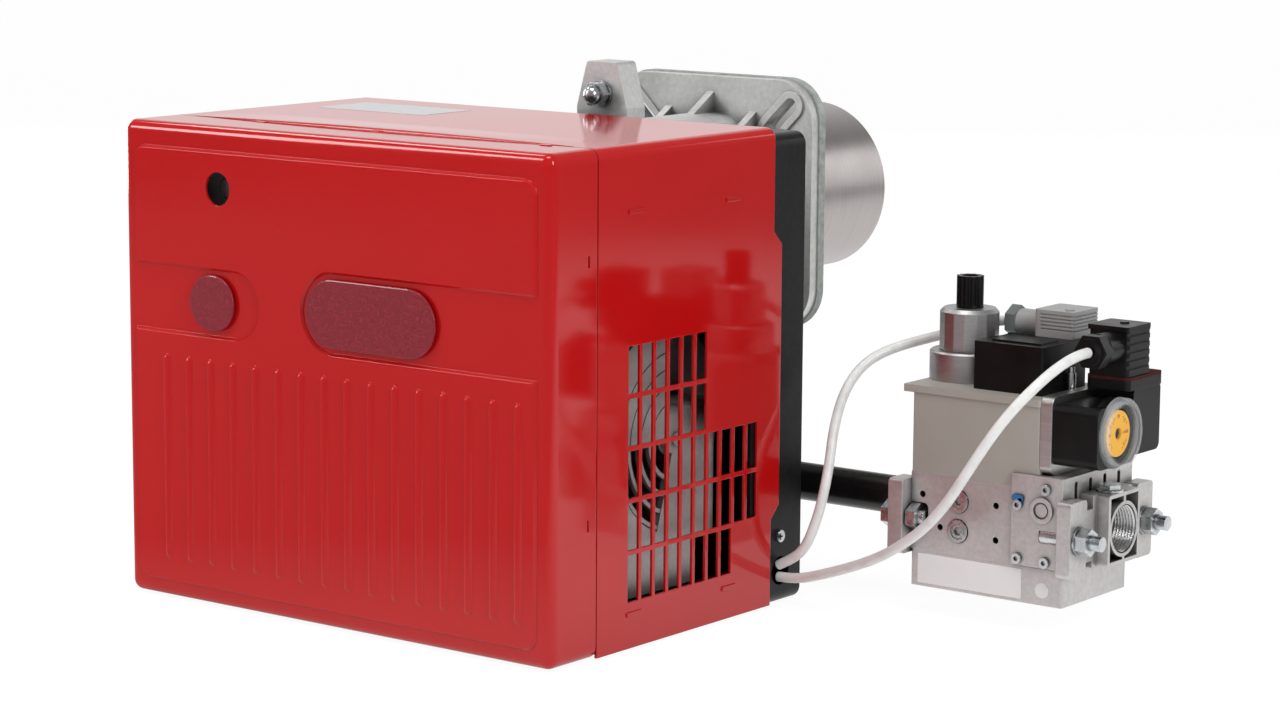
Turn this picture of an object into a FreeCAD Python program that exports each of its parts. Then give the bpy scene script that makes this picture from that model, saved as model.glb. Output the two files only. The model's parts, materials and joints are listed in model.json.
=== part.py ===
import FreeCAD, Part
import math
import os

# Gas burner of the monobloc kind: a pressed-steel hood over a cast fan housing, a neck with the
# boiler flange and blast tube behind it, and a gas valve on the supply pipe beside it.
# Millimetres. Origin: on the axis of the blast tube, in the face that meets the boiler.
# +Y points along the blast tube into the boiler, +X towards the gas valve, +Z up.

# ---------------------------------------------------------------- driving dimensions
tube_radius = 51.0            # blast tube, outside
tube_wall = 1.5
tube_reach = 99.5             # blast tube past the boiler face
gasket_thickness = 6.0
plate_thickness = 7.0         # boiler flange
plate_size = 147.0
plate_corner = 25.0
hood_to_face = 351.0          # hood's front panel to the boiler face
tube_height = 200.6           # tube axis above the hood's lower edge
hood_width = 300.0
hood_height = 262.0
hood_sheet = 1.5
hood_corner = 6.0
pan_depth = 38.2              # front panel's turned edge
seam_gap = 1.0
hood_depth = 192.6
shield_back = 224.0           # rear shield's back face, from the hood front
shield_wall = 2.5
shield_drop = 1.4             # shield stands this far below the hood
shield_top_drop = 4.0
fit_gap = 0.3                 # between pieces that seat but don't press
run_gap = 0.05                # radial, shaft in bearing

front = -hood_to_face
low = -tube_height            # hood's lower edge
high = low + hood_height
side = hood_width / 2
floor = low - shield_drop
seat = -gasket_thickness      # flange plate's rear face
plate_front = seat - plate_thickness

V = FreeCAD.Vector
os.makedirs("parts", exist_ok=True)
AXES = {"x": V(1, 0, 0), "y": V(0, 1, 0), "z": V(0, 0, 1)}
X, Y, Z = AXES["x"], AXES["y"], AXES["z"]
nodes = {}


# ---------------------------------------------------------------- shape helpers
def box(x, y, z):
    return Part.makeBox(x[1] - x[0], y[1] - y[0], z[1] - z[0], V(x[0], y[0], z[0]))


def edges_along(shape, axis):
    """The straight edges of a shape that run along one axis."""
    lines = [edge for edge in shape.Edges if isinstance(edge.Curve, Part.Line)]
    return [edge for edge in lines if abs(edge.Curve.Direction.dot(AXES[axis])) > 0.999]


def rounded_box(x, y, z, radius, along):
    block = box(x, y, z)
    return block.makeFillet(radius, edges_along(block, along))


def rod(radius, start, along, length):
    return Part.makeCylinder(radius, length, V(*start), along)


def ring(outer, inner, start, along, length):
    return rod(outer, start, along, length).cut(rod(inner, start, along, length))


def placed(shape, start, along):
    """A shape that was built on +Z, moved to a start point and turned to an axis."""
    shape.Placement = FreeCAD.Placement(V(*start), FreeCAD.Rotation(Z, along))
    return shape


def polygon_rod(across_flats, sides, start, along, length):
    radius = across_flats / 2 / math.cos(math.pi / sides)
    corners = [V(radius * math.cos(2 * math.pi * k / sides), radius * math.sin(2 * math.pi * k / sides), 0)
               for k in range(sides + 1)]
    prism = Part.Face(Part.makePolygon(corners)).extrude(V(0, 0, length))
    return placed(prism, start, along)


def hexagon(across_flats, start, along, length):
    return polygon_rod(across_flats, 6, start, along, length)


def outline(points, direction):
    """A prism from a closed outline of points, pushed along a vector."""
    corners = [V(*point) for point in points]
    return Part.Face(Part.makePolygon(corners + corners[:1])).extrude(direction)


def slot_rod(width, length, centre, angle, depth, along_y):
    """A round-ended slot through the XZ plane, turned by an angle, from along_y over depth."""
    half = (length - width) / 2
    block = box((-half, half), (0, depth), (-width / 2, width / 2))
    for end in (-half, half):
        block = block.fuse(rod(width / 2, (end, 0, 0), Y, depth))
    block = block.removeSplitter()
    block.rotate(V(0, 0, 0), Y, -angle)
    block.translate(V(centre[0], along_y, centre[1]))
    return block


def joined(shapes):
    shapes = list(shapes)
    return shapes[0].multiFuse(shapes[1:]).removeSplitter()


def group(shapes):
    return Part.makeCompound(list(shapes))


def add(name, shape):
    nodes[name] = shape


# ---------------------------------------------------------------- hood: front panel
press = 1.6                   # how far the pressed field stands proud of its border
field_side = 9.0
field_low = 9.0
field_high = 13.0
band_low = 149.0              # the pressed-back bands that carry the badges
left_band = 35.5
left_band_end = -49.0
right_band = 42.0
right_band_end = -17.0
rib_count = 16
rib_pitch = 16.48
rib_first = -117.3
rib_low = 21.5
rib_high = 136.5
rib_radius = 3.4
rib_proud = 1.6
button_hole = (-77.5, 228.7)
button_hole_radius = 9.0
catch_heights = (70.5, 205.8)   # slots in the pan's turned edge, on both sides
catch_half = 3.0
catch_start = 30.8
catch_width = 1.5
field_bevel = 1.3             # slope round the pressed field


def band(end, low_edge, height, direction, grow=0.0):
    """A round-ended band that runs from its end to the side of the field."""
    radius = height / 2
    mid = low + low_edge + radius
    far = direction * (side - field_side + 1)
    start = end + direction * radius
    run = box((min(start, far), max(start, far)), (front - 1, front + press),
              (mid - radius - grow, mid + radius + grow))
    return run.fuse(rod(radius + grow, (start, front - 1, mid), Y, press + 1))


def rib(number, radius):
    """One pressed rib, a bar with ball ends lying in the field."""
    place = rib_first + number * rib_pitch
    depth = front + rib_radius - rib_proud
    bar = rod(radius, (place, depth, low + rib_low + rib_radius), Z, rib_high - rib_low - 2 * rib_radius)
    ends = [Part.makeSphere(radius, V(place, depth, low + height))
            for height in (rib_low + rib_radius, rib_high - rib_radius)]
    return bar.multiFuse(ends)


def front_pan(inset):
    """The deep-drawn pan, as a block that is smaller all round by the inset."""
    radius = hood_corner - inset
    back = front + pan_depth + inset
    pan = rounded_box((-side + inset, side - inset), (front + press + inset, back),
                      (low + inset, high - inset), radius, "y")
    rim = [edge for edge in pan.Edges
           if all(abs(vertex.Y - front - press - inset) < 0.01 for vertex in edge.Vertexes)]
    return pan.makeFillet(radius - 0.5, rim)


def pressed_field(inset):
    """The raised field with its bands left out."""
    field = rounded_box((-side + field_side + inset, side - field_side - inset),
                        (front + inset, front + press + inset + 2),
                        (low + field_low + inset, high - field_high - inset), 8 - inset, "y")
    cut_depth = V(0, inset, 0)
    bands = [band(left_band_end, band_low, left_band, -1, inset),
             band(right_band_end, band_low - 1, right_band, 1, inset)]
    for shape in bands:
        shape.translate(cut_depth)
        field = field.cut(shape)
    rim = [edge for edge in field.Edges
           if all(abs(vertex.Y - front - inset) < 0.01 for vertex in edge.Vertexes)]
    return field.makeChamfer(field_bevel, rim)


skin = front_pan(0).fuse(pressed_field(0))
skin = skin.multiFuse([rib(number, rib_radius) for number in range(rib_count)])
hollow = front_pan(hood_sheet).fuse(pressed_field(hood_sheet))
panel = skin.cut(hollow)
panel = panel.cut(rod(button_hole_radius, (button_hole[0], front - 1, low + button_hole[1]), Y, 10))
for height in catch_heights:
    panel = panel.cut(box((-side - 1, side + 1), (front + catch_start, front + catch_start + catch_width),
                          (low + height - catch_half, low + height + catch_half)))
add("front_panel", panel.removeSplitter())

# ---------------------------------------------------------------- hood: wrap with the side grille
wrap_front = front + pan_depth + seam_gap
tab_depth = 200.0             # side tabs that lap over the rear shield
grille_first = 64.9
grille_pitch = 11.65
grille_width = 9.25
grille_low = 24.5
row_pitch = 27.35
grille_height = 24.9
grille_rows = (8, 10, 10, 6, 6)
lance_places = ((69.9, 228.1), (154.1, 227.0), (70.0, 18.2), (153.6, 17.2))


def arch(inset, start, end):
    """A round-topped block the width of the hood, open downwards where two are subtracted."""
    block = box((-side + inset, side - inset), (start, end), (low - (1 if inset else 0), high - inset))
    tops = [edge for edge in edges_along(block, "y") if edge.Vertexes[0].Z > 0]
    return block.makeFillet(hood_corner - inset, tops)


wrap = arch(0, wrap_front, front + tab_depth).cut(arch(hood_sheet, wrap_front - 1, front + tab_depth + 1))
edge_step = tab_depth - hood_depth
lip = front + hood_depth
tab_high = low + 206.0
tab_low = low + 48.0
tab_end = front + tab_depth
for edge, start, slope in ((high + 1, tab_high, -edge_step), (low - 1, tab_low, edge_step)):
    trim = [(-side - 1, lip, edge), (-side - 1, lip, start), (-side - 1, tab_end, start + slope),
            (-side - 1, tab_end + 1, start + slope), (-side - 1, tab_end + 1, edge)]
    wrap = wrap.cut(outline(trim, V(hood_width + 2, 0, 0)))
strip_start = wrap_front - 9.0
strip = arch(hood_sheet + 0.1, strip_start, wrap_front + 4)
strip = strip.cut(arch(hood_sheet * 2, strip_start - 1, wrap_front + 5))
strip = strip.cut(box((-side, side), (strip_start - 1, wrap_front + 5), (low - 2, low + hood_corner + 0.4)))
step_ring = arch(hood_sheet - 0.2, wrap_front, wrap_front + 4)
step_ring = step_ring.cut(arch(hood_sheet + 0.4, wrap_front - 1, wrap_front + 5))
step_ring = step_ring.cut(box((-side, side), (wrap_front - 1, wrap_front + 5), (low - 2, low + 2)))
wrap = wrap.multiFuse([strip, step_ring])
windows = []
for row, columns in enumerate(grille_rows):
    for column in range(columns):
        start = front + grille_first + column * grille_pitch
        bottom = low + grille_low + row * row_pitch
        windows.append(box((side - 5, side + 1), (start, start + grille_width),
                           (bottom, bottom + grille_height)))
wrap = wrap.cut(Part.makeCompound(windows))
lances = []
for place, height in lance_places:
    for edge in (-side - 0.8, side - 0.2):
        lances.append(box((edge, edge + 1.0), (front + place - 6, front + place + 6),
                          (low + height - 1.2, low + height + 1.2)))
wrap = wrap.multiFuse(lances)
add("hood_wrap", wrap.removeSplitter())

# ---------------------------------------------------------------- rear shield and its base tray
shield_side = side - hood_sheet - 0.5
shield_top = high - shield_top_drop
shield_start = front + 176.0
shield_end = front + shield_back
tray_front = front + 44.0
neck_radius = tube_radius + 1.0
cable_hole = (205.0, 17.2)
cable_hole_radius = 8.0
shield = rounded_box((-shield_side, shield_side), (shield_start, shield_end), (floor, shield_top), 7, "y")
shield = shield.cut(rounded_box((-shield_side + shield_wall, shield_side - shield_wall),
                                (shield_start - 1, shield_end - shield_wall),
                                (floor + shield_wall, shield_top - shield_wall), 4.5, "y"))
shield = shield.fuse(box((-shield_side + 8, shield_side - 8), (tray_front, shield_start + 1),
                         (floor, floor + shield_wall)))
shield = shield.cut(rod(neck_radius + 1.5, (0, shield_end - shield_wall - 1, 0), Y, shield_wall + 2))
shield = shield.cut(rod(cable_hole_radius,
                        (shield_side - 6, front + cable_hole[0], low + cable_hole[1]), X, 10))
add("rear_shield", shield.removeSplitter())

screw_place = (203.0, 37.0)
screws = []
for direction in (-1, 1):
    screw_y = front + screw_place[0]
    screw_z = low + screw_place[1]
    head = rod(3.4, (direction * shield_side, screw_y, screw_z), X * direction, 2.0)
    shank = rod(1.9, (direction * (shield_side - 8), screw_y, screw_z), X * direction, 8.2)
    screws.append(head.fuse(shank))
    nodes["rear_shield"] = nodes["rear_shield"].cut(
        rod(2.0, (direction * (shield_side - 6), screw_y, screw_z), X * direction, 8))

# ---------------------------------------------------------------- fan housing (cast volute)
fan_y = front + 121.0         # fan axis, which runs along X
fan_z = low + 101.5
fan_radius = 68.0
volute_half = 38.0            # inner half width of the volute
volute_wall = 4.0
scroll_start = 73.0           # inner radius where the scroll starts, at the tongue
scroll_end = 105.0            # and where it leaves over the top
tongue_angle = 20.0
outlet_half = 47.0            # half height of the outlet throat
body_back = front + 211.0     # rear face of the casting, where the neck bolts on
joint_plate = (56.0, 52.0)    # half width and half height of the bolted joint
joint_bolts = (49.0, 43.0)
shaft_radius = 6.0
inlet_radius = 48.0
volute_side = volute_half + volute_wall


def scroll(inset, half_width):
    """The scroll as one block: an outline that grows round the fan and leaves to the rear."""
    steps = 18
    points = []
    for step in range(steps + 1):
        turn = step / steps
        angle = math.radians(tongue_angle - turn * (270 + tongue_angle))
        radius = scroll_start + (scroll_end - scroll_start) * turn + volute_wall - inset
        points.append((-half_width, fan_y + radius * math.cos(angle), fan_z + radius * math.sin(angle)))
    edge = outlet_half + volute_wall - inset
    end = body_back + (1 if inset else 0)
    points += [(-half_width, fan_y + 40, edge), (-half_width, end, edge), (-half_width, end, -edge),
               (-half_width, body_back - 12, -edge)]
    return outline(points, V(2 * half_width, 0, 0))


volute = scroll(0, volute_side)
volute = volute.fuse(box((-joint_plate[0], joint_plate[0]), (body_back - 6, body_back),
                         (-joint_plate[1], joint_plate[1])))
feet = [box((x - 6, x + 6), (fan_y - 40, fan_y + 40), (floor + shield_wall, fan_z - scroll_start))
        for x in (-30, 30)]
volute = volute.multiFuse(feet)
volute = volute.cut(scroll(volute_wall, volute_half))
volute = volute.cut(rod(shaft_radius + 1.5, (-volute_side - 1, fan_y, fan_z), X, volute_wall + 2))
volute = volute.cut(rod(inlet_radius, (volute_half - 1, fan_y, fan_z), X, volute_wall + 2))
bolt_radius = 3.0
bolt_places = [(x, z) for x in (-joint_bolts[0], joint_bolts[0]) for z in (-joint_bolts[1], joint_bolts[1])]
for x, z in bolt_places:
    volute = volute.cut(rod(bolt_radius + 0.3, (x, body_back - 7, z), Y, 8))
add("fan_housing", volute.removeSplitter())

# ---------------------------------------------------------------- air intake: drum, guard, shutter
drum_radius = 72.0
drum_wall = 4.0
guard_room = 10.5             # between the cover and the hood's grille
guard_thickness = 4.0
guard_face = side - hood_sheet - guard_room
guard_back = guard_face - guard_thickness
cover_depth = 26.0
cover_start = guard_face - cover_depth
cover_wall = 3.0
cover_radius = 65.5
cover_back = fan_y + 39.0     # the cover's rear wall
cover_top = fan_z + 17.0      # and its top, behind the round part
cover_round_end = fan_y - 6.0
cover_side_low = fan_z - 56.0
cover_foot = (fan_y - 52.0, fan_y + 16.0)
cover_foot_low = fan_z - 79.5
cover_foot_top = fan_z - 40.0
cover_round = 7.0             # rounding of the cover's rear and top edges
window_start = 181.0          # the window in the guard, in the YZ plane
window_span = 71.5
window_inner = 8.0
window_outer = 50.0
first_ring = 21.0
ring_pitch = 9.0
ring_count = 4
ring_bar = 2.2
groove_start = 98.0           # the closed part beside the window carries on the rings as grooves
groove_span = 81.0
groove_half = 0.45
groove_depth = 0.7
shutter_thickness = 2.0
shutter_radius = 54.0
shutter_start = 124.5         # open: the shutter lies behind the closed part
shutter_span = 56.0
shutter_travel = 71.5         # turned in, it leaves a fifth of the window open
tab_angle = 126.0
tab_span = 6.0
tab_room = 6.0                # clear angle on each side of the tab's travel
tab_reach = 73.0
pivot_radius = 4.0
pivot_flange = 7.0


def wedge(start_angle, span, inner, outer, x_from, x_to):
    """A ring sector in the YZ plane, from one X to another."""
    sector = Part.makeCylinder(outer, x_to - x_from, V(0, 0, 0), Z, span)
    sector = sector.cut(Part.makeCylinder(inner, x_to - x_from, V(0, 0, 0), Z)) if inner else sector
    sector.rotate(V(0, 0, 0), Z, start_angle)
    turn = FreeCAD.Rotation(FreeCAD.Matrix(0, 0, 1, 0, 1, 0, 0, 0, 0, 1, 0, 0))
    sector.Placement = FreeCAD.Placement(V(x_from, fan_y, fan_z), turn).multiply(sector.Placement)
    return sector


def on_axis(x):
    """The point of the fan's axis at one X."""
    return (x, fan_y, fan_z)


def cover_block(inset, x_from, x_to, rounding=0.0):
    """The cover's outline as a block: round in front, with a flat rear part and a foot."""
    x = (x_from, x_to)
    past = drum_radius + 10
    disc = rod(cover_radius - inset, on_axis(x_from), X, x_to - x_from)
    behind = box((x_from - 1, x_to + 1), (cover_round_end - inset, fan_y + past),
                 (fan_z - past, fan_z + past))
    rear = box(x, (cover_round_end - 6, cover_back - inset), (cover_side_low + inset, cover_top - inset))
    if rounding:
        face = [edge for edge in rear.Edges if all(abs(vertex.X - x_to) < 0.01 for vertex in edge.Vertexes)]
        rear = rear.makeFillet(rounding, [edge for edge in face if edge.CenterOfMass.y > cover_back - 1
                                          or edge.CenterOfMass.z > cover_top - 1])
    foot = box(x, (cover_foot[0] + inset, cover_foot[1] - inset), (cover_foot_low + inset, cover_foot_top))
    return joined([disc.cut(behind), rear, foot])


drum = ring(drum_radius, drum_radius - drum_wall, on_axis(volute_side), X, cover_start - volute_side)
drum = drum.fuse(ring(drum_radius, inlet_radius, on_axis(volute_side), X, drum_wall))
shoulder = rod(drum_radius, on_axis(cover_start - drum_wall), X, drum_wall)
shoulder = shoulder.cut(cover_block(cover_wall, cover_start - drum_wall - 1, cover_start + 1))
add("intake_drum", drum.fuse(shoulder).removeSplitter())

guard = cover_block(0, cover_start, guard_face, cover_round)
guard = guard.cut(cover_block(cover_wall, cover_start - 1, guard_back))
guard = guard.cut(wedge(window_start, window_span, window_inner, window_outer,
                        guard_back - 1, guard_face + 1))
radii = [first_ring + ring_pitch * k for k in range(ring_count)]
guard = guard.multiFuse([wedge(window_start - 1, window_span + 2,
                               radius - ring_bar / 2, radius + ring_bar / 2,
                               guard_back + 0.6, guard_face - 0.6) for radius in radii])
for radius in radii:
    guard = guard.cut(wedge(groove_start, groove_span, radius - groove_half, radius + groove_half,
                            guard_face - groove_depth, guard_face + 1))
shutter_front = guard_back - fit_gap
shutter_back = shutter_front - shutter_thickness
guard = guard.cut(wedge(tab_angle - tab_room, shutter_travel + tab_span + 2 * tab_room, shutter_radius + 3,
                        cover_radius + 3, shutter_back - fit_gap, guard_back))
pivot_start = shutter_back - fit_gap
guard = guard.fuse(rod(pivot_radius, on_axis(pivot_start), X, guard_back - pivot_start))
guard = guard.fuse(rod(pivot_flange, on_axis(pivot_start - 2), X, 2.0))
guard = guard.fuse(rod(3.5, on_axis(guard_face), X, 1.5))
add("intake_guard", guard.removeSplitter())

shutter = wedge(shutter_start, shutter_span, 0, shutter_radius, shutter_back, shutter_front)
shutter = shutter.fuse(rod(pivot_flange + 2, on_axis(shutter_back), X, shutter_thickness))
shutter = shutter.fuse(wedge(tab_angle, tab_span, shutter_radius - 2, tab_reach,
                             shutter_back, shutter_front))
shutter = shutter.cut(rod(pivot_radius + run_gap, on_axis(shutter_back - 1), X, shutter_thickness + 2))
add("air_shutter", shutter.removeSplitter())

# ---------------------------------------------------------------- fan motor, shaft and impeller
motor_radius = 48.0
motor_front = -volute_side - 4.0
cap_length = 12.0
motor_room = 8.0              # between the motor and the hood's outside
rotor_radius = 27.0
bearing_radius = 14.0
bearing_width = 9.0
motor_start = -side + motor_room
stator_end = motor_front - cap_length
stator_start = motor_start + cap_length
stator_length = stator_end - stator_start

stator = ring(motor_radius, rotor_radius + 0.5, on_axis(stator_start), X, stator_length)
fins = []
for number in range(18):
    fin = box((stator_start + 4, stator_end - 4), (motor_radius - 1, motor_radius + 3), (-1.2, 1.2))
    fin.rotate(V(0, 0, 0), X, 20 * number)
    fin.translate(V(0, fan_y, fan_z))
    fins.append(fin)
stator = stator.multiFuse(fins)
add("motor_stator", stator.removeSplitter())


def end_cap(outer_face, inner_face, spigot_face):
    """A cast end cap with its bearing seat; the spigot face is level with the outer one if it has none."""
    cap = rod(motor_radius + 2, on_axis(min(outer_face, inner_face)), X, abs(inner_face - outer_face))
    if spigot_face != outer_face:
        cap = cap.fuse(rod(30, on_axis(min(spigot_face, outer_face)), X, abs(spigot_face - outer_face)))
    inward = X if inner_face > outer_face else X * -1
    seat_start = inner_face - bearing_width * inward.x
    cap = cap.cut(rod(bearing_radius, on_axis(seat_start), inward, bearing_width + 1))
    return cap


front_cap = end_cap(motor_front, stator_end, -volute_side)
front_cap = front_cap.cut(rod(shaft_radius + 0.5, on_axis(stator_end - 1), X, cap_length + 10))
rear_cap = end_cap(motor_start, stator_start, motor_start)
add("motor_end_caps", group([front_cap, rear_cap]))
add("motor_bearings", group(ring(bearing_radius, shaft_radius + run_gap, on_axis(start), X, bearing_width)
                            for start in (stator_end, stator_start - bearing_width)))

impeller_left = -volute_half + 4.0
impeller_right = volute_half - 3.0
hub_length = 26.0
shaft_end = impeller_left + hub_length
shaft_start = stator_start - bearing_width + 0.5
shaft = rod(shaft_radius, on_axis(shaft_start), X, shaft_end - shaft_start)
shaft = shaft.fuse(rod(rotor_radius, on_axis(stator_start + 8), X, stator_length - 16))
add("motor_shaft", shaft.removeSplitter())

blade_count = 30
blade_inner = 54.0
blade_thickness = 1.0
blade_bow = 9.0
impeller = ring(fan_radius, shaft_radius, on_axis(impeller_left), X, 2.0)
impeller = impeller.fuse(ring(14, shaft_radius, on_axis(impeller_left), X, hub_length))
impeller = impeller.fuse(ring(fan_radius, blade_inner, on_axis(impeller_right - 2), X, 2.0))


def blade_path(bow):
    """A forward-curved blade's section line, from the inner to the outer radius."""
    middle = (blade_inner + fan_radius) / 2
    return [V(0, blade_inner, 0), V(0, middle, -bow * 0.3), V(0, fan_radius - 0.3, bow * 0.25)]


def blade(number):
    face = blade_path(blade_bow)
    back = [point + V(0, 0, blade_thickness) for point in face]
    wire = Part.Wire([Part.Arc(*face).toShape(), Part.makeLine(face[2], back[2]),
                      Part.Arc(back[2], back[1], back[0]).toShape(), Part.makeLine(back[0], face[0])])
    solid = Part.Face(wire).extrude(V(impeller_right - impeller_left - 3, 0, 0))
    solid.rotate(V(0, 0, 0), X, 360 / blade_count * number)
    solid.translate(V(impeller_left + 1.5, fan_y, fan_z))
    return solid


impeller = impeller.multiFuse([blade(number) for number in range(blade_count)])
add("impeller", impeller)

can_radius = 15.0             # capacitor under the motor
can_length = 62.0
can_y = fan_y - 20.0
can_z = fan_z - motor_radius - 24.0
can_start = motor_start + 10.0
capacitor = rod(can_radius, (can_start, can_y, can_z), X, can_length)
capacitor = capacitor.fuse(rod(can_radius - 4, (can_start + can_length, can_y, can_z), X, 6))
saddle = box((can_start + 15, can_start + 40), (can_y - 12, can_y + 12),
             (can_z + 4, fan_z - motor_radius + 8))
saddle = saddle.cut(rod(motor_radius + 3, on_axis(motor_start), X, stator_length + 40)).cut(capacitor)
add("capacitor", capacitor.fuse(saddle).removeSplitter())

# ---------------------------------------------------------------- controls under the hood
control_front = front + 18.0
control_right = -volute_side
control_width = 70.0
control_depth = 82.0
control_base_low = low + 190.0
control_base_height = 13.0
control_top = high - 11.0
terminal_count = 5
terminal_pitch = 13.0
button_radius = 7.0
button_travel = 3.0
button_reach = 10.0           # head's face in front of the control box
stem_radius = 3.5
base = box((control_right - control_width, control_right), (control_front, control_front + control_depth),
           (control_base_low, control_base_low + control_base_height))
for k in range(terminal_count):
    place = control_right - control_width + 9 + terminal_pitch * k
    base = base.cut(rod(3.2, (place, control_front - 1, control_base_low + control_base_height / 2), Y, 8))
add("control_base", base)
control = rounded_box((control_right - control_width + 2, control_right - 2),
                      (control_front, control_front + control_depth),
                      (control_base_low + control_base_height, control_top), 4, "y")
button_at = (button_hole[0], low + button_hole[1])
control = control.cut(rod(stem_radius + run_gap, (button_at[0], control_front - 1, button_at[1]), Y, 20))
well_depth = button_travel + 1.0
control = control.cut(rod(button_radius + 1.5, (button_at[0], control_front - 1, button_at[1]), Y,
                          1 + well_depth))
add("control_box", control)
button = rod(button_radius, (button_at[0], control_front - button_reach, button_at[1]), Y,
             button_reach - 0.5)
rims = [edge for edge in button.Edges
        if all(abs(v.Y - control_front + button_reach) < 0.01 for v in edge.Vertexes)]
button = button.makeFillet(2.0, rims)
button = button.fuse(rod(stem_radius, (button_at[0], control_front - 1, button_at[1]), Y, 14))
add("reset_button", button.removeSplitter())
spring_radius = 5.2
spring = ring(spring_radius + 0.8, spring_radius - 0.6, (button_at[0], control_front - 0.2, button_at[1]), Y,
              well_depth - 0.1)
add("button_spring", spring)

coil_block = 60.0             # ignition transformer, square in section
coil_block_right = side - 28.0
coil_block_front = front + 16.0
lead_socket_x = coil_block_right - 18.0
lead_socket_end = coil_block_front + coil_block + 12.0
transformer = rounded_box((volute_side, coil_block_right), (coil_block_front, coil_block_front + coil_block),
                          (control_base_low, control_base_low + coil_block), 5, "x")
for height in (control_base_low + 15, control_base_low + 45):
    transformer = transformer.fuse(rod(8, (lead_socket_x, lead_socket_end - 18, height), Y, 18))
    transformer = transformer.cut(rod(3.5, (lead_socket_x, lead_socket_end - 10, height), Y, 12))
add("ignition_transformer", transformer.removeSplitter())

switch_centre = (front + 172.0, low + 217.0)
diaphragm_radius = 28.0
diaphragm_depth = 14.0
air_dial_radius = 11.5
air_spindle = 2.5
dial_recess = 4.0


def at_switch(x):
    return (x, switch_centre[0], switch_centre[1])


dial_seat = volute_side + 2 * diaphragm_depth
air_switch = rod(diaphragm_radius, at_switch(volute_side), X, diaphragm_depth)
air_switch = air_switch.fuse(rod(diaphragm_radius - 4, at_switch(volute_side + diaphragm_depth), X,
                                 diaphragm_depth))
air_switch = air_switch.fuse(rod(3, (volute_side + 7, switch_centre[0], switch_centre[1] - 26), Z * -1, 14))
air_switch = air_switch.cut(rod(air_dial_radius + 0.5, at_switch(dial_seat - dial_recess), X,
                                dial_recess + 1))
air_switch = air_switch.fuse(rod(air_spindle, at_switch(dial_seat - dial_recess), X, 3))
add("air_pressure_switch", air_switch.removeSplitter())
air_dial = ring(air_dial_radius, air_spindle + run_gap, at_switch(dial_seat - dial_recess + fit_gap), X, 3.2)
air_dial = air_dial.cut(box((dial_seat - 2.2, dial_seat + 1),
                            (switch_centre[0] + 3.5, switch_centre[0] + 11),
                            (switch_centre[1] - 1, switch_centre[1] + 1)))
add("air_switch_dial", air_dial)

strip_left = side - 50.0      # terminal strip on the tray, beside the cable holes
strip_y = (front + 186.0, front + 214.0)
strip_low = floor + shield_wall
strip_height = 22.0
clamp_pitch = 9.0
terminals = box((strip_left, strip_left + 38), strip_y, (strip_low, strip_low + strip_height))
for k in range(4):
    start = strip_left + 3 + clamp_pitch * k
    terminals = terminals.cut(box((start, start + 5), (strip_y[0] - 1, strip_y[1] + 1),
                                  (strip_low + 14, strip_low + strip_height + 1)))
add("terminal_block", terminals)

# ---------------------------------------------------------------- neck, lug and boiler flange
neck_wall = 6.0
neck_flange_front = front + shield_back - shield_wall
lug_front = front + 233.0
lug_depth = 17.0
lug_top = low + 288.0
lug_half_low = 18.0
lug_half_top = 10.8
nut_height = low + 269.6
collar_length = 20.0
spigot_radius = tube_radius - 3.0
gas_y = front + 264.5         # gas line: pipe, valve and the riser into the neck
gas_z = low + 55.0
pipe_radius = 10.65
pipe_bore = 8.05
riser_boss_radius = 18.0
riser_boss_low = -68.0
pipe_elbow_reach = 26.0
socket = 14.0
collar_start = plate_front - collar_length

neck = rod(neck_radius, (0, body_back, 0), Y, collar_start - fit_gap - body_back)
neck = neck.fuse(rod(spigot_radius, (0, body_back, 0), Y, plate_front + 3 - body_back))
neck = neck.fuse(box((-joint_plate[0], joint_plate[0]), (body_back, neck_flange_front),
                     (-joint_plate[1], joint_plate[1])))
lug_points = [(-lug_half_low, lug_front, 40), (lug_half_low, lug_front, 40), (lug_half_low, lug_front, high),
              (lug_half_top, lug_front, lug_top), (-lug_half_top, lug_front, lug_top),
              (-lug_half_low, lug_front, high)]
lug = outline(lug_points, V(0, lug_depth, 0))
lug = lug.makeFillet(2.5, [edge for edge in edges_along(lug, "y") if edge.Vertexes[0].Z > high - 1])
neck = neck.fuse(lug)
neck = neck.fuse(rod(riser_boss_radius, (0, gas_y, riser_boss_low), Z, -riser_boss_low - spigot_radius + 4))
neck = neck.cut(rod(neck_radius - neck_wall, (0, body_back - 1, 0), Y, plate_front + 5 - body_back))
neck = neck.cut(rod(pipe_radius + run_gap, (0, gas_y, riser_boss_low - 1), Z, -riser_boss_low - 20))
for x, z in bolt_places:
    neck = neck.cut(rod(bolt_radius + run_gap, (x, body_back - 1, z), Y, 9))
stud_radius = 4.0
neck = neck.cut(rod(stud_radius, (0, lug_front - 1, nut_height), Y, lug_depth + 2))
add("neck_casting", neck.removeSplitter())

bolts = []
for x, z in bolt_places:
    bolt = rod(bolt_radius, (x, body_back - 6, z), Y, 13)
    bolts.append(bolt.fuse(hexagon(10, (x, body_back - 10, z), Y, 4)))
add("housing_screws", group(bolts + screws))

nut_length = 14.0
tie_stud = rod(stud_radius, (0, lug_front - 8, nut_height), Y, lug_depth + 14)
dome_radius = 5.4
dome_nut = hexagon(13, (0, lug_front - 8.0, nut_height), Y, 8.0)
dome_nut = dome_nut.fuse(rod(dome_radius, (0, lug_front - nut_length + dome_radius, nut_height), Y,
                             nut_length - dome_radius))
dome_nut = dome_nut.fuse(Part.makeSphere(dome_radius,
                                         V(0, lug_front - nut_length + dome_radius, nut_height)))
dome_nut = dome_nut.fuse(rod(7.6, (0, lug_front - 1.6, nut_height), Y, 1.6))
dome_nut = dome_nut.cut(rod(stud_radius, (0, lug_front - 8, nut_height), Y, 9))
add("lug_fastening", group([tie_stud, dome_nut.removeSplitter()]))

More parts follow.
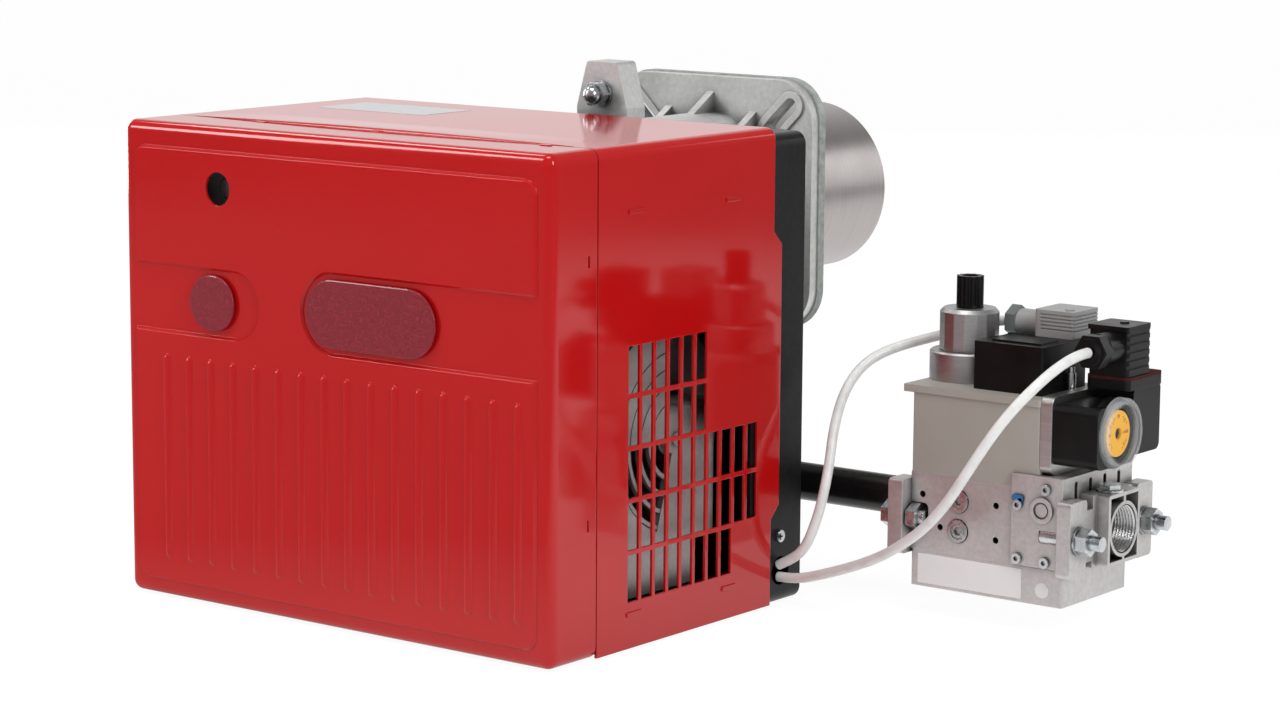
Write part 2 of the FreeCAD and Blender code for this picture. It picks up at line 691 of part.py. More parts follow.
tube_collar_radius = tube_radius + 3.5
tube_collar_thickness = 2.0
tube_root_rise = 1.2          # the weld's thickening inside the gasket
slot_width = 9.0
slot_margin = 6.1             # from a slot's outer end to the plate's corner
plate_half = plate_size / 2
slot_start = tube_collar_radius + 3.0
slot_end = (plate_half - plate_corner) * math.sqrt(2) + plate_corner - slot_margin
slot_length = slot_end - slot_start
pad_rise = 1.5
diagonal = (slot_start + slot_end) / 2 / math.sqrt(2)
slot_places = [(1, 1, 45), (-1, 1, 135), (-1, -1, 225), (1, -1, 315)]
flange = rounded_box((-plate_half, plate_half), (plate_front, seat), (-plate_half, plate_half),
                     plate_corner, "y")
flange = flange.fuse(rod(neck_radius, (0, collar_start, 0), Y, collar_length + 1))
for sx, sz, angle in slot_places:
    flange = flange.fuse(slot_rod(slot_width + 8, slot_length + 8, (sx * diagonal, sz * diagonal), angle,
                                  pad_rise + 1, plate_front - pad_rise))
flange = flange.common(rounded_box((-plate_half, plate_half), (collar_start - 1, seat),
                                   (-plate_half, plate_half), plate_corner, "y"))
gusset_thickness = 5.0
gusset_rise = 12.0
for x in (-31.0, 0.0, 31.0):
    foot = math.sqrt(neck_radius ** 2 - x ** 2) - 3
    top = math.sqrt(neck_radius ** 2 - x ** 2) + gusset_rise
    for up in (1, -1):
        profile = [(collar_start, foot + 3), (collar_start, foot), (plate_front + 1, foot),
                   (plate_front + 1, top), (plate_front, top)]
        points = [(x - gusset_thickness / 2, y, up * rise) for y, rise in profile]
        flange = flange.fuse(outline(points, V(gusset_thickness, 0, 0)))
collar_bore = spigot_radius + run_gap
flange = flange.cut(rod(collar_bore, (0, collar_start - 1, 0), Y, collar_length + plate_thickness + 2))
flange = flange.cut(rod(tube_collar_radius + fit_gap, (0, seat - tube_collar_thickness, 0), Y,
                        tube_collar_thickness + 1))
for sx, sz, angle in slot_places:
    flange = flange.cut(slot_rod(slot_width, slot_length, (sx * diagonal, sz * diagonal), angle, 14,
                                 plate_front - 4))
add("boiler_flange", flange.removeSplitter())

gasket_half = plate_half + 0.8
gasket = rounded_box((-gasket_half, gasket_half), (seat, 0), (-gasket_half, gasket_half), plate_corner, "y")
gasket = gasket.cut(rod(tube_radius + tube_root_rise + fit_gap, (0, seat - 1, 0), Y, gasket_thickness + 2))
for sx, sz, angle in slot_places:
    gasket = gasket.cut(slot_rod(slot_width + 1, slot_length + 1, (sx * diagonal, sz * diagonal), angle, 10,
                                 seat - 1))
add("flange_gasket", gasket)

tube = rod(tube_radius, (0, -1, 0), Y, tube_reach + 1)
tube = tube.fuse(rod(tube_radius + tube_root_rise, (0, seat - 1, 0), Y, gasket_thickness + 1))
tube = tube.fuse(rod(tube_collar_radius, (0, seat - tube_collar_thickness, 0), Y, tube_collar_thickness))
tube = tube.cut(rod(tube_radius - tube_wall, (0, seat - 5, 0), Y, tube_reach + 20))
add("blast_tube", tube.removeSplitter())

# ---------------------------------------------------------------- combustion head
elbow_radius = 12.0
head_outer = 14.5
head_start = front + 286.0
head_travel = 15.0
disc_y = tube_reach - 24.0
disc_radius = tube_radius - tube_wall - 3.0
disc_thickness = 2.0
riser_low = gas_z + pipe_elbow_reach - socket
head_elbow = rod(pipe_radius, (0, gas_y, riser_low), Z, -riser_low)
head_elbow = head_elbow.multiFuse([Part.makeSphere(elbow_radius, V(0, gas_y, 0)),
                                   rod(elbow_radius, (0, gas_y, 0), Y, 42)])
head_elbow = head_elbow.cut(rod(pipe_bore, (0, gas_y, riser_low - 1), Z, 1 - riser_low))
head_elbow = head_elbow.cut(rod(8.5, (0, gas_y, 0), Y, 50))
add("head_elbow", head_elbow.removeSplitter())

head = ring(head_outer, elbow_radius + run_gap, (0, head_start, 0), Y, disc_y + 12 - head_start)
head = head.fuse(rod(head_outer, (0, disc_y + 8, 0), Y, 4))
for k in range(12):
    angle = math.radians(30 * k)
    head = head.cut(rod(1.6, (0, disc_y + 5, 0), V(math.cos(angle), 0, math.sin(angle)), 20))
add("gas_head", head.removeSplitter())

disc = ring(disc_radius, head_outer, (0, disc_y - disc_thickness, 0), Y, disc_thickness)
vanes = []
for k in range(12):
    cut = box((head_outer + 6, disc_radius - 5), (disc_y - disc_thickness - 1, disc_y + 1), (-1.5, 1.5))
    cut.rotate(V(0, 0, 0), Y, 30 * k + 15)
    disc = disc.cut(cut)
    vane = box((head_outer + 6, disc_radius - 5), (0, 1.2), (-0.3, 5.2))
    vane.rotate(V(0, 0, 0), X, 35)
    vane.translate(V(0, disc_y - 0.4, 1.2))
    vane.rotate(V(0, 0, 0), Y, 30 * k + 15)
    vanes.append(vane)
disc = disc.multiFuse(vanes)
electrode_offset = 26.0
electrode_places = [(0.0, electrode_offset), (0.0, -electrode_offset)]
for x, z in electrode_places:
    disc = disc.cut(rod(4.3, (x, disc_y - 4, z), Y, 12))
add("swirl_disc", disc.removeSplitter())


def electrode(place, tip):
    x, z = place
    ceramic = rod(3.8, (x, disc_y - 70, z), Y, 74)
    wire = rod(1.2, (x, disc_y - 84, z), Y, 90)
    bent = rod(1.2, (x, disc_y + 6, z), V(-x * tip, 1, -z * tip), 14)
    return ceramic.multiFuse([wire, bent, Part.makeSphere(1.2, V(x, disc_y + 6, z))]).removeSplitter()


add("electrodes", group([electrode(electrode_places[0], 0.03), electrode(electrode_places[1], 0.0)]))
clamp_y = disc_y - 45
clamp = rod(head_outer + 3, (0, clamp_y, 0), Y, 8)
clamp = clamp.fuse(box((-3, 3), (clamp_y, clamp_y + 8), (-electrode_offset, electrode_offset)))
clamp = clamp.multiFuse([rod(7, (x, clamp_y, z), Y, 8) for x, z in electrode_places])
clamp = clamp.cut(rod(head_outer, (0, clamp_y - 1, 0), Y, 10))
clamp = clamp.cut(Part.makeCompound([rod(3.8, (x, clamp_y - 1, z), Y, 10) for x, z in electrode_places]))
add("electrode_clamp", clamp.removeSplitter())

# ---------------------------------------------------------------- gas pipe and riser
valve_left = side + 66.5
outlet_left = valve_left - 9.0
pipe_start = pipe_elbow_reach - socket
gas_pipe = ring(pipe_radius, pipe_bore, (pipe_start, gas_y, gas_z), X, outlet_left + 8 - pipe_start)
add("gas_pipe", gas_pipe)
elbow = Part.makeSphere(16.0, V(0, gas_y, gas_z))
elbow = elbow.multiFuse([rod(16.0, (0, gas_y, gas_z), X, pipe_elbow_reach),
                         rod(16.0, (0, gas_y, gas_z), Z, pipe_elbow_reach)])
elbow = elbow.multiFuse([rod(18.0, (pipe_elbow_reach - 6, gas_y, gas_z), X, 6),
                         rod(18.0, (0, gas_y, gas_z + pipe_elbow_reach - 6), Z, 6)])
elbow = elbow.cut(rod(pipe_radius + run_gap, (pipe_start, gas_y, gas_z), X, socket + 1))
elbow = elbow.cut(rod(pipe_radius + run_gap, (0, gas_y, riser_low), Z, socket + 1))
elbow = elbow.cut(rod(pipe_bore, (0, gas_y, gas_z), X, 20)).cut(rod(pipe_bore, (0, gas_y, gas_z), Z, 20))
add("gas_elbow", elbow.removeSplitter())

# ---------------------------------------------------------------- gas valve: blocks and flanges
valve_mid = valve_left + 64.5   # where the body ends and the side block starts
valve_right = valve_mid + 31.5
valve_front = front + 230.0
valve_back = front + 298.0
base_low = low + 15.1
body_low = low + 35.0
body_top = low + 77.4
side_proud = 3.0
side_top = low + 85.0
stud_spacing = 70.0
ear_half = 8.5
stud_low = gas_z - 2.0
notch = 11.0

add("valve_base", rounded_box((valve_left + 0.5, valve_right - 1), (valve_front, valve_back),
                              (base_low, body_low), 1.5, "z"))

body = box((valve_left, valve_mid), (valve_front, valve_back), (body_low, body_top))
stud_rows = (gas_y - stud_spacing / 2, gas_y + stud_spacing / 2)
for row, place in enumerate(stud_rows):
    edge = valve_front - 1 if row == 0 else valve_back - notch
    body = body.cut(rounded_box((valve_left - 1, valve_left + notch), (edge, edge + notch + 1),
                                (stud_low - 8, stud_low + 8), 2.5, "y"))
plug_x = valve_left + 29.9
plug_places = [(plug_x, low + 64.7), (plug_x, low + 48.3)]
plug_radius = 6.3
tapped_places = [(valve_left + 7.3, low + 65.8), (valve_mid - 11.0, low + 65.2),
                 (valve_mid - 10.8, low + 46.4),
                 (valve_left + 18.7, low + 49.0)]
for x, z in plug_places:
    body = body.cut(rod(plug_radius + fit_gap, (x, valve_front - 1, z), Y, 3))
for x, z in tapped_places:
    body = body.cut(rod(1.8, (x, valve_front - 1, z), Y, 7))
body = body.cut(rod(pipe_bore, (valve_left - 1, gas_y, gas_z), X, 30))
add("valve_body", body.removeSplitter())

side_front = valve_front - side_proud
side_screws = [(valve_mid + 21.5, low + 78.4), (valve_mid + 4.4, low + 68.5), (valve_mid + 4.6, low + 39.5),
               (valve_mid + 21.5, low + 39.2)]
inlay_at = (valve_mid + 19.0, low + 67.0)
block = box((valve_mid, valve_right), (side_front, valve_back + 2), (low + 36.0, side_top))
block = block.fuse(box((valve_mid, valve_right), (valve_front, valve_back), (body_low, low + 37)))
for k in range(4):
    start = side_front + 12 + 15 * k
    block = block.cut(rounded_box((valve_right - 3, valve_right + 1), (start, start + 3.2),
                                  (side_top - 14, side_top - 3), 1.4, "x"))
block = block.fuse(ring(7.0, 4.6, (inlay_at[0], side_front - 1.2, inlay_at[1]), Y, 1.7))
block = block.fuse(rod(3.6, (inlay_at[0], side_front - 0.6, inlay_at[1]), Y, 1.0))
inlet_bore = 10.0
block = block.cut(rod(inlet_bore, (valve_right - 12, gas_y, gas_z), X, 13))
for x, z in side_screws:
    block = block.cut(rod(1.6, (x, side_front - 1, z), Y, 9))
for place in stud_rows:
    block = block.cut(rod(stud_radius, (valve_right - 14, place, stud_low), X, 15))
add("valve_side_block", block.removeSplitter())


def screw_head(head_radius, shank_radius, start, height, length, star):
    """A pan-head screw that points along +Y, with a star socket in its head."""
    x, y, z = start
    screw = rod(head_radius, (x, y - height, z), Y, height)
    screw = screw.fuse(rod(shank_radius, (x, y - 0.5, z), Y, length + 0.5))
    return screw.cut(polygon_rod(star, 6, (x, y - height - 0.1, z), Y, height * 0.7))


plugs = [screw_head(2.9, 1.55, (x, side_front, z), 1.8, 7.5, 2.4) for x, z in side_screws]
for x, z in plug_places:
    plug = rod(plug_radius, (x, valve_front - 0.8, z), Y, 2.6)
    plug = plug.cut(rod(4.4, (x, valve_front - 1, z), Y, 0.8))
    plugs.append(plug.cut(hexagon(4.5, (x, valve_front - 1, z), Y, 2.2)))
add("valve_screws", group(plugs))


def flange_piece(start, thickness, boss_radius, boss_from, boss_to, bore):
    """A gas flange with two ears on the stud rows and a round or square boss."""
    piece = box((start, start + thickness), (gas_y - 20, gas_y + 20), (gas_z - 19, gas_z + 20))
    for place in stud_rows:
        ear = rounded_box((start, start + thickness), (place - ear_half, place + ear_half),
                          (stud_low - 20, stud_low + 21), 2.5, "x")
        web = box((start, start + thickness), (min(place, gas_y), max(place, gas_y)),
                  (stud_low - 13, stud_low + 15))
        piece = piece.multiFuse([ear, web])
    piece = piece.fuse(rod(boss_radius, (boss_from, gas_y, gas_z), X, boss_to - boss_from))
    piece = piece.cut(rod(bore, (min(start, boss_from) - 1, gas_y, gas_z), X, 40))
    for place in stud_rows:
        piece = piece.cut(rod(stud_radius + 0.3, (start - 1, place, stud_low), X, thickness + 2))
    return piece


outlet = flange_piece(outlet_left, 9.0, 17.0, outlet_left - 4, outlet_left + 1, pipe_radius + run_gap)
add("outlet_flange", outlet.removeSplitter())
inlet_thickness = 8.5
inlet_end = valve_right + 16.0
thread_radius = 13.2
thread_depth = 15.0
inlet = flange_piece(valve_right, inlet_thickness, 16.5, valve_right + 2, inlet_end - 2, inlet_bore)
frame_half = (16.5, 19.2)     # the boss is an open frame round the threaded collar
frame_wall = 2.0
frame_mid = gas_z + 0.8
collar_wall = 1.8
pocket_depth = 7.0
boss = rounded_box((valve_right + 2, inlet_end), (gas_y - frame_half[0], gas_y + frame_half[0]),
                   (frame_mid - frame_half[1], frame_mid + frame_half[1]), 1.5, "x")
pocket_y = frame_half[0] - frame_wall
pocket_z = frame_half[1] - frame_wall
pockets = box((inlet_end - pocket_depth, inlet_end + 1), (gas_y - pocket_y, gas_y + pocket_y),
              (frame_mid - pocket_z, frame_mid + pocket_z))
pockets = pockets.cut(rod(thread_radius + collar_wall, (inlet_end - pocket_depth - 1, gas_y, gas_z), X, 20))
pockets = pockets.cut(box((inlet_end - pocket_depth - 1, inlet_end + 2), (gas_y - 1, gas_y + 1),
                          (gas_z - frame_half[1] - 2, gas_z + frame_half[1] + 2)))
inlet = inlet.fuse(boss).cut(rod(inlet_bore, (valve_right - 1, gas_y, gas_z), X, 20))
inlet = inlet.cut(rod(thread_radius, (inlet_end - thread_depth, gas_y, gas_z), X, thread_depth + 1))
inlet = inlet.cut(pockets)
inlet = inlet.cut(rod(6.2, (valve_right + 9, gas_y - 4, gas_z + 18), Z, 5))
add("inlet_flange", inlet.removeSplitter())
plug_at = (valve_right + 9, gas_y - 4)
inlet_plug = joined([rod(6.1, plug_at + (gas_z + 18,), Z, 2.5), rod(7.2, plug_at + (gas_z + 20,), Z, 1.2),
                     hexagon(11, plug_at + (gas_z + 20,), Z, 4)])

studs = []
nuts = []
for place in stud_rows:
    studs.append(rod(stud_radius, (valve_right - 13, place, stud_low), X, 36))
    nut = hexagon(13, (valve_right + inlet_thickness + 1.4, place, stud_low), X, 6.5)
    nut = nut.fuse(rod(7.6, (valve_right + inlet_thickness, place, stud_low), X, 1.4))
    nuts.append(nut.cut(rod(stud_radius, (valve_right, place, stud_low), X, 30)))
    studs.append(rod(stud_radius, (outlet_left - 3, place, stud_low), X, 22))
    nut = hexagon(13, (valve_left + 0.6, place, stud_low), X, 6)
    nuts.append(nut.cut(rod(stud_radius, (valve_left - 2, place, stud_low), X, 12)))
    nut = hexagon(13, (outlet_left - 6, place, stud_low), X, 6)
    nuts.append(nut.cut(rod(stud_radius, (outlet_left - 8, place, stud_low), X, 12)))
add("flange_studs", group(studs + nuts))

# ---------------------------------------------------------------- gas valve: coil, brake, cap
coil_right = valve_mid + 15.0
coil_back = valve_back - 4.0
coil_top = low + 121.0
lid_top = low + 125.0
brake_at = (valve_left + 11.3, front + 267.5)
brake_radius = 21.3
brake_ring_top = low + 141.0
brake_top = low + 164.0
cylinder_radius = 16.3
cap_radius = 7.4
cap_top = low + 181.5
coil = rounded_box((valve_left, coil_right), (valve_front, coil_back), (body_top, coil_top), 1.2, "z")
coil = coil.cut(box((valve_mid, coil_right + 1), (valve_front - 1, coil_back + 1), (body_top - 1, side_top)))
add("coil_housing", coil)
lid = rounded_box((valve_left - 6, coil_right), (valve_front - 0.8, coil_back + 0.8), (coil_top, lid_top),
                  1.2, "z")
add("coil_lid", lid)
brake_seat = (brake_at[0], brake_at[1], lid_top)
brake = rod(brake_radius, brake_seat, Z, brake_ring_top - lid_top)
rims = [edge for edge in brake.Edges if all(abs(v.Z - brake_ring_top) < 0.01 for v in edge.Vertexes)]
brake = brake.makeChamfer(1.0, rims)
brake = brake.cut(rod(6.0, (brake_at[0], brake_at[1], lid_top + 4), Z, 20))
add("brake_ring", brake)


def on_brake(z):
    """The point of the brake's axis at one height."""
    return (brake_at[0], brake_at[1], z)


crown_height = 2.0
cylinder_low = brake_ring_top + fit_gap
cylinder = rod(cylinder_radius, on_brake(cylinder_low), Z, brake_top - crown_height - cylinder_low)
cylinder = cylinder.common(polygon_rod(2 * cylinder_radius * 0.985, 16, on_brake(cylinder_low), Z, 40))
crown = Part.makeCone(cylinder_radius - 0.3, cylinder_radius - 2.0, crown_height,
                      V(*on_brake(brake_top - crown_height)))
cylinder = cylinder.multiFuse([crown, rod(6.0 - run_gap, on_brake(lid_top + 6), Z,
                                          brake_ring_top - lid_top - 5)])
cylinder = cylinder.cut(rod(4.0, on_brake(brake_top - 6), Z, 7))
add("brake_cylinder", cylinder.removeSplitter())
cap = rod(cap_radius, on_brake(brake_top + fit_gap), Z, cap_top - brake_top - fit_gap)
for k in range(12):
    angle = math.radians(30 * k)
    groove_x = brake_at[0] + (cap_radius + 0.3) * math.cos(angle)
    groove_y = brake_at[1] + (cap_radius + 0.3) * math.sin(angle)
    cap = cap.cut(rod(1.1, (groove_x, groove_y, brake_top + 1.5), Z, 30))
cap = cap.cut(rod(4.6, on_brake(cap_top - 1.6), Z, 3))
cap = cap.fuse(rod(4.0 - run_gap, on_brake(brake_top - 5.5), Z, 7))
add("brake_cap", cap.removeSplitter())

# ---------------------------------------------------------------- gas valve: terminal box and plugs
terminal_x = (valve_left + 31.1, valve_mid + 9.6)
terminal_y = (front + 240.0, front + 286.0)
terminal_top = low + 151.0
cord_radius = 2.8
grey_y = (front + 274.0, front + 301.0)
grey_x = (valve_left + 48.0, valve_left + 72.5)
grey_top = low + 165.8
grey_z = low + 156.0          # cord entry
grey_axis_y = (grey_y[0] + grey_y[1]) / 2
gland_radius = 7.2
nut_room = 9.5                # gland nut's room beside the terminal box
grey_gland_end = valve_left + 25.0
terminal = rounded_box(terminal_x, terminal_y, (lid_top, terminal_top), 1.5, "z")
lid_y = (terminal_y[0] + 6, terminal_y[0] + 24)
terminal = terminal.fuse(box((terminal_x[0] + 8, terminal_x[1] - 5), lid_y,
                             (terminal_top, terminal_top + 1)))
terminal = terminal.cut(rod(brake_radius + fit_gap, (brake_at[0], brake_at[1], lid_top - 1), Z, 40))
terminal = terminal.cut(box((terminal_x[0] - 1, grey_x[0] + 1 + fit_gap),
                            (grey_axis_y - nut_room, terminal_y[1] + 1),
                            (grey_z - nut_room, terminal_top + 2)))
add("terminal_box", terminal.removeSplitter())


def plug_body(x, y, z, ribs_x, ribs_y):
    """A cable plug's housing with grooves across one pair of sides."""
    body = rounded_box(x, y, z, 2.0, "z")
    count = 5
    pitch = (z[1] - z[0] - 5) / count
    for k in range(count):
        height = z[0] + 4 + k * pitch
        if ribs_x:
            body = body.cut(box((x[1] - 1.0, x[1] + 1), (y[0] - 1, y[1] + 1),
                                (height, height + pitch * 0.45)))
        if ribs_y:
            body = body.cut(box((x[0] + 4, x[1] + 1), (y[0] - 1, y[0] + 0.7),
                                (height, height + pitch * 0.45)))
    return body


grey = plug_body(grey_x, grey_y, (terminal_top, grey_top), True, True)
grey = grey.fuse(rod(gland_radius, (grey_gland_end + 7, grey_axis_y, grey_z), X,
                     grey_x[0] - grey_gland_end - 6))
grey = grey.cut(rod(cord_radius, (grey_gland_end + 6, grey_axis_y, grey_z), X, 12))
grey = grey.fuse(rod(2.5, (grey_x[1] - 6, grey_y[0] + 6, grey_top - 0.5), Z, 1.3))
add("grey_plug", grey.removeSplitter())
grey_nut = hexagon(15.5, (grey_gland_end + 1, grey_axis_y, grey_z), X, 6)
grey_nut = grey_nut.fuse(rod(6.6, (grey_gland_end, grey_axis_y, grey_z), X, 2))
grey_nut = grey_nut.cut(rod(cord_radius, (grey_gland_end - 1, grey_axis_y, grey_z), X, 12))
add("grey_gland_nut", grey_nut.removeSplitter())

switch_low = low + 90.7
switch_high = low + 123.5
switch_front = valve_front + 0.7
switch_back = valve_front + 41.0
plate_right = coil_right + 7.0
switch_right = valve_right + 17.5
dial_at = (front + 251.2, low + 108.3)
dial_window_radius = 19.3
dial_radius = 12.3
window_depth = 5.0
add("switch_plate", rounded_box((coil_right, plate_right), (switch_front - 0.7, switch_back),
                                (side_top, switch_high + 3.5), 5, "x"))
switch = rounded_box((plate_right, switch_right), (switch_front, switch_back),
                     (switch_low, switch_high), 5, "x")
switch = switch.fuse(rod(dial_window_radius - 0.6, (switch_right - 6, dial_at[0], dial_at[1]), X, 6))
switch = switch.cut(rod(dial_radius + 1.5, (switch_right - 3, dial_at[0], dial_at[1]), X, 4))
switch = switch.fuse(rod(3.0, (switch_right - 3, dial_at[0], dial_at[1]), X, 2.4))
add("gas_switch", switch.removeSplitter())
dial = ring(dial_radius, 3.0 + run_gap, (switch_right - 3 + fit_gap, dial_at[0], dial_at[1]), X, 3.4)
mark_circle = 9.6
for k in range(10):
    angle = math.radians(30 * k - 60)
    mark = (switch_right, dial_at[0] + mark_circle * math.cos(angle),
            dial_at[1] + mark_circle * math.sin(angle))
    dial = dial.cut(rod(0.7, mark, X, 1))
dial = dial.cut(box((switch_right - 0.3, switch_right + 2), (dial_at[0] + 4.0, dial_at[0] + 8.0),
                    (dial_at[1] - 0.6, dial_at[1] + 0.6)))
add("switch_dial", dial)
window = rod(dial_window_radius, (switch_right, dial_at[0], dial_at[1]), X, window_depth)
rims = [edge for edge in window.Edges
        if all(abs(v.X - switch_right - window_depth) < 0.01 for v in edge.Vertexes)]
window = window.makeFillet(1.5, rims)
window = window.cut(rod(dial_window_radius - 2.5, (switch_right - 1, dial_at[0], dial_at[1]), X,
                        window_depth - 0.5))
add("switch_window", window)

rear_front = switch_back + 0.5
rear_back = valve_back + 2.5
rear_top = low + 130.0
deck_top = low + 136.0
rear = rounded_box((plate_right - 3, switch_right - 2), (rear_front, rear_back),
                   (switch_low + 2.5, rear_top), 4, "x")
rear = rear.fuse(box((coil_right, plate_right - 2), (rear_front + 6, coil_back - 4), (low + 100, low + 120)))
deck_x = (plate_right + 1, switch_right)
deck_y = (front + 262.0, rear_back - 1)
gasket_low = deck_top - 1.6
add("switch_gasket", rounded_box(deck_x, deck_y, (gasket_low, deck_top), 3, "z"))
rear = rear.fuse(rounded_box(deck_x, deck_y, (rear_top - 1, gasket_low), 3, "z"))
add("leak_switch", rear.removeSplitter())
black_x = (valve_right - 7.5, valve_right + 16.5)
black_y = (front + 262.5, front + 287.0)
black_z = low + 151.5
black_gland_end = front + 240.0
black_top = low + 163.0
black = plug_body(black_x, black_y, (deck_top, black_top), True, False)
black_axis_x = valve_right + 6.0
black = black.fuse(rounded_box((black_x[0] - 0.8, black_x[1]), (black_y[0] - 0.8, black_y[1]),
                               (black_top - 2.5, black_top), 1.5, "z"))
black = black.fuse(rod(8.8, (black_axis_x, black_gland_end + 9, black_z), Y,
                       black_y[0] - black_gland_end - 8))
black = black.cut(rod(cord_radius, (black_axis_x, black_gland_end + 8, black_z), Y, 12))
black = black.fuse(rod(2.5, (black_axis_x, black_y[0] + 14, black_top - 0.5), Z, 1.3))
add("black_plug", black.removeSplitter())
black_nut = hexagon(17.0, (black_axis_x, black_gland_end + 1, black_z), Y, 8)
black_nut = black_nut.fuse(rod(7.2, (black_axis_x, black_gland_end, black_z), Y, 2))
black_nut = black_nut.cut(rod(cord_radius, (black_axis_x, black_gland_end - 1, black_z), Y, 12))
add("black_gland_nut", black_nut.removeSplitter())
nipple_at = (valve_mid + 12.3, front + 265.6)
nipple = joined([rod(2.5, nipple_at + (lid_top,), Z, 10), rod(1.8, nipple_at + (lid_top + 10,), Z, 3)])
add("test_fittings", group([inlet_plug, nipple]))

# ---------------------------------------------------------------- the two white cables
# Straight runs joined by tangent arcs. The points are chosen by hand, from the lower front corner
# of the hood's right side.
hole_x = shield_side - side
cable_a_route = [
    (hole_x, 205, 20.5), (7, 205.5, 25), (14.5, 205.5, 31.5), (19.5, 206, 41.5), (23, 209.5, 57.5),
    (23, 216, 76.5), (19.5, 225, 96), (17.5, 236, 112.5), (18.5, 247, 124), (22.5, 257.5, 132),
    (31, 269, 137.5), (43.5, 279, 142), (57.5, 285, 146.5), (80.5, 287.7, 154.5),
    (grey_gland_end - side, grey_axis_y - front, grey_z - low)]
cable_b_route = [
    (hole_x, 205, 14), (10, 205, 14), (30.5, 202.5, 20.5), (51, 198, 28), (71, 193, 36.5),
    (89.5, 187, 47), (106.5, 182.5, 59), (122, 179, 74.5), (134.5, 178, 92.5), (145, 180.5, 110),
    (154, 187.5, 125.5), (161.5, 199, 138), (166.5, 213, 147), (black_axis_x - side, 230, 151.5),
    (black_axis_x - side, black_gland_end - front, black_z - low)]


def cable(route, label):
    """A round tube along a route, its runs joined by the largest tangent arcs they allow."""
    points = [V(side + x, front + y, low + z) for x, y, z in route]
    runs = [(b - a).Length for a, b in zip(points, points[1:])]
    edges = []
    here = points[0]
    radii = []
    for k in range(1, len(points) - 1):
        before = (points[k - 1] - points[k]).normalize()
        after = (points[k + 1] - points[k]).normalize()
        turn = math.pi - before.getAngle(after)
        shorter = min(runs[k - 1], runs[k])
        radius = 0.45 * shorter / math.tan(turn / 2)
        radii.append(radius)
        start = points[k] + before * (0.45 * shorter)
        end = points[k] + after * (0.45 * shorter)
        inward = (before + after).normalize()
        middle = points[k] + inward * (radius / math.cos(turn / 2) - radius)
        edges += [Part.LineSegment(here, start).toShape(), Part.Arc(start, middle, end).toShape()]
        here = end
    edges.append(Part.LineSegment(here, points[-1]).toShape())
    path = Part.Wire(edges)
    profile = Part.Wire(Part.makeCircle(cord_radius, points[0], points[1] - points[0]))
    tube = path.makePipeShell([profile], True, False)
    print(label, "length %.0f, smallest radius %.0f, volume ratio %.4f" % (
        path.Length, min(radii), tube.Volume / (math.pi * cord_radius ** 2 * path.Length)))
    return tube


add("cable_a", cable(cable_a_route, "cable_a"))
add("cable_b", cable(cable_b_route, "cable_b"))

for name, shape in nodes.items():
    shape.exportStep("parts/" + name + ".step")
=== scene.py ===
import json
import math

import bmesh
import bpy
from mathutils import Matrix, Vector


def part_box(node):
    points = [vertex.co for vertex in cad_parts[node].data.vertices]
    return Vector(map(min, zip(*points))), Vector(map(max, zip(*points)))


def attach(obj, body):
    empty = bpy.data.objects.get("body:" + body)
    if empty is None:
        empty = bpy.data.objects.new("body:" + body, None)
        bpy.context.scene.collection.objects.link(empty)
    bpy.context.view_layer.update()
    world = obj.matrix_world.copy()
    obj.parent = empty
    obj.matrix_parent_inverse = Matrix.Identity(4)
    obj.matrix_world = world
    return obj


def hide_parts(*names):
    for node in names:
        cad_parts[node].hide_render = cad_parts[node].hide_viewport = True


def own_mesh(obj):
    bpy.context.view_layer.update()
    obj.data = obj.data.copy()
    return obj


# Finishes, cables and small trim for a monobloc gas burner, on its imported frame.
# Metres. Origin on the blast tube's axis in the boiler's face, +Y into the boiler, +Z up.

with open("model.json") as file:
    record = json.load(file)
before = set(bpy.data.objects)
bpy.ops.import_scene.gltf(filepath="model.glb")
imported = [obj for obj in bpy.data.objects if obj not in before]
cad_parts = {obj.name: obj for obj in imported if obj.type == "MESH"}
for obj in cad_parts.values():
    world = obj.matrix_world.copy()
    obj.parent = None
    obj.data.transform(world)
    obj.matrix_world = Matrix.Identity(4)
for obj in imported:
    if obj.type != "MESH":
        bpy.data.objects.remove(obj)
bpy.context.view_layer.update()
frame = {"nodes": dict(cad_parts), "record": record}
mm = 0.001


# ---------------------------------------------------------------- places taken from the frame
def recorded(entries, name):
    """The place of one of the record's joints or mounts."""
    return next(Vector(entry["pos_m"]) for entry in entries if entry["name"] == name)


panel_low, panel_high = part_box("front_panel")
front = panel_low.y                   # the pressed field's face
low = panel_low.z                     # hood's lower edge
high = panel_high.z                   # hood's top
side = panel_high.x                   # hood's right side
press = 1.6 * mm                      # the field's rise over its border
floor_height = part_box("rear_shield")[0].z
dial_axis = recorded(frame["record"]["behaviour"]["joints"], "pressure_set")
gas_axis = recorded(frame["record"]["mounts"], "gas_inlet")

forward = Vector((0, 1, 0))
inward = Vector((-1, 0, 0))           # from the right side to the middle
up = Vector((0, 0, 1))
down = Vector((0, 0, -1))


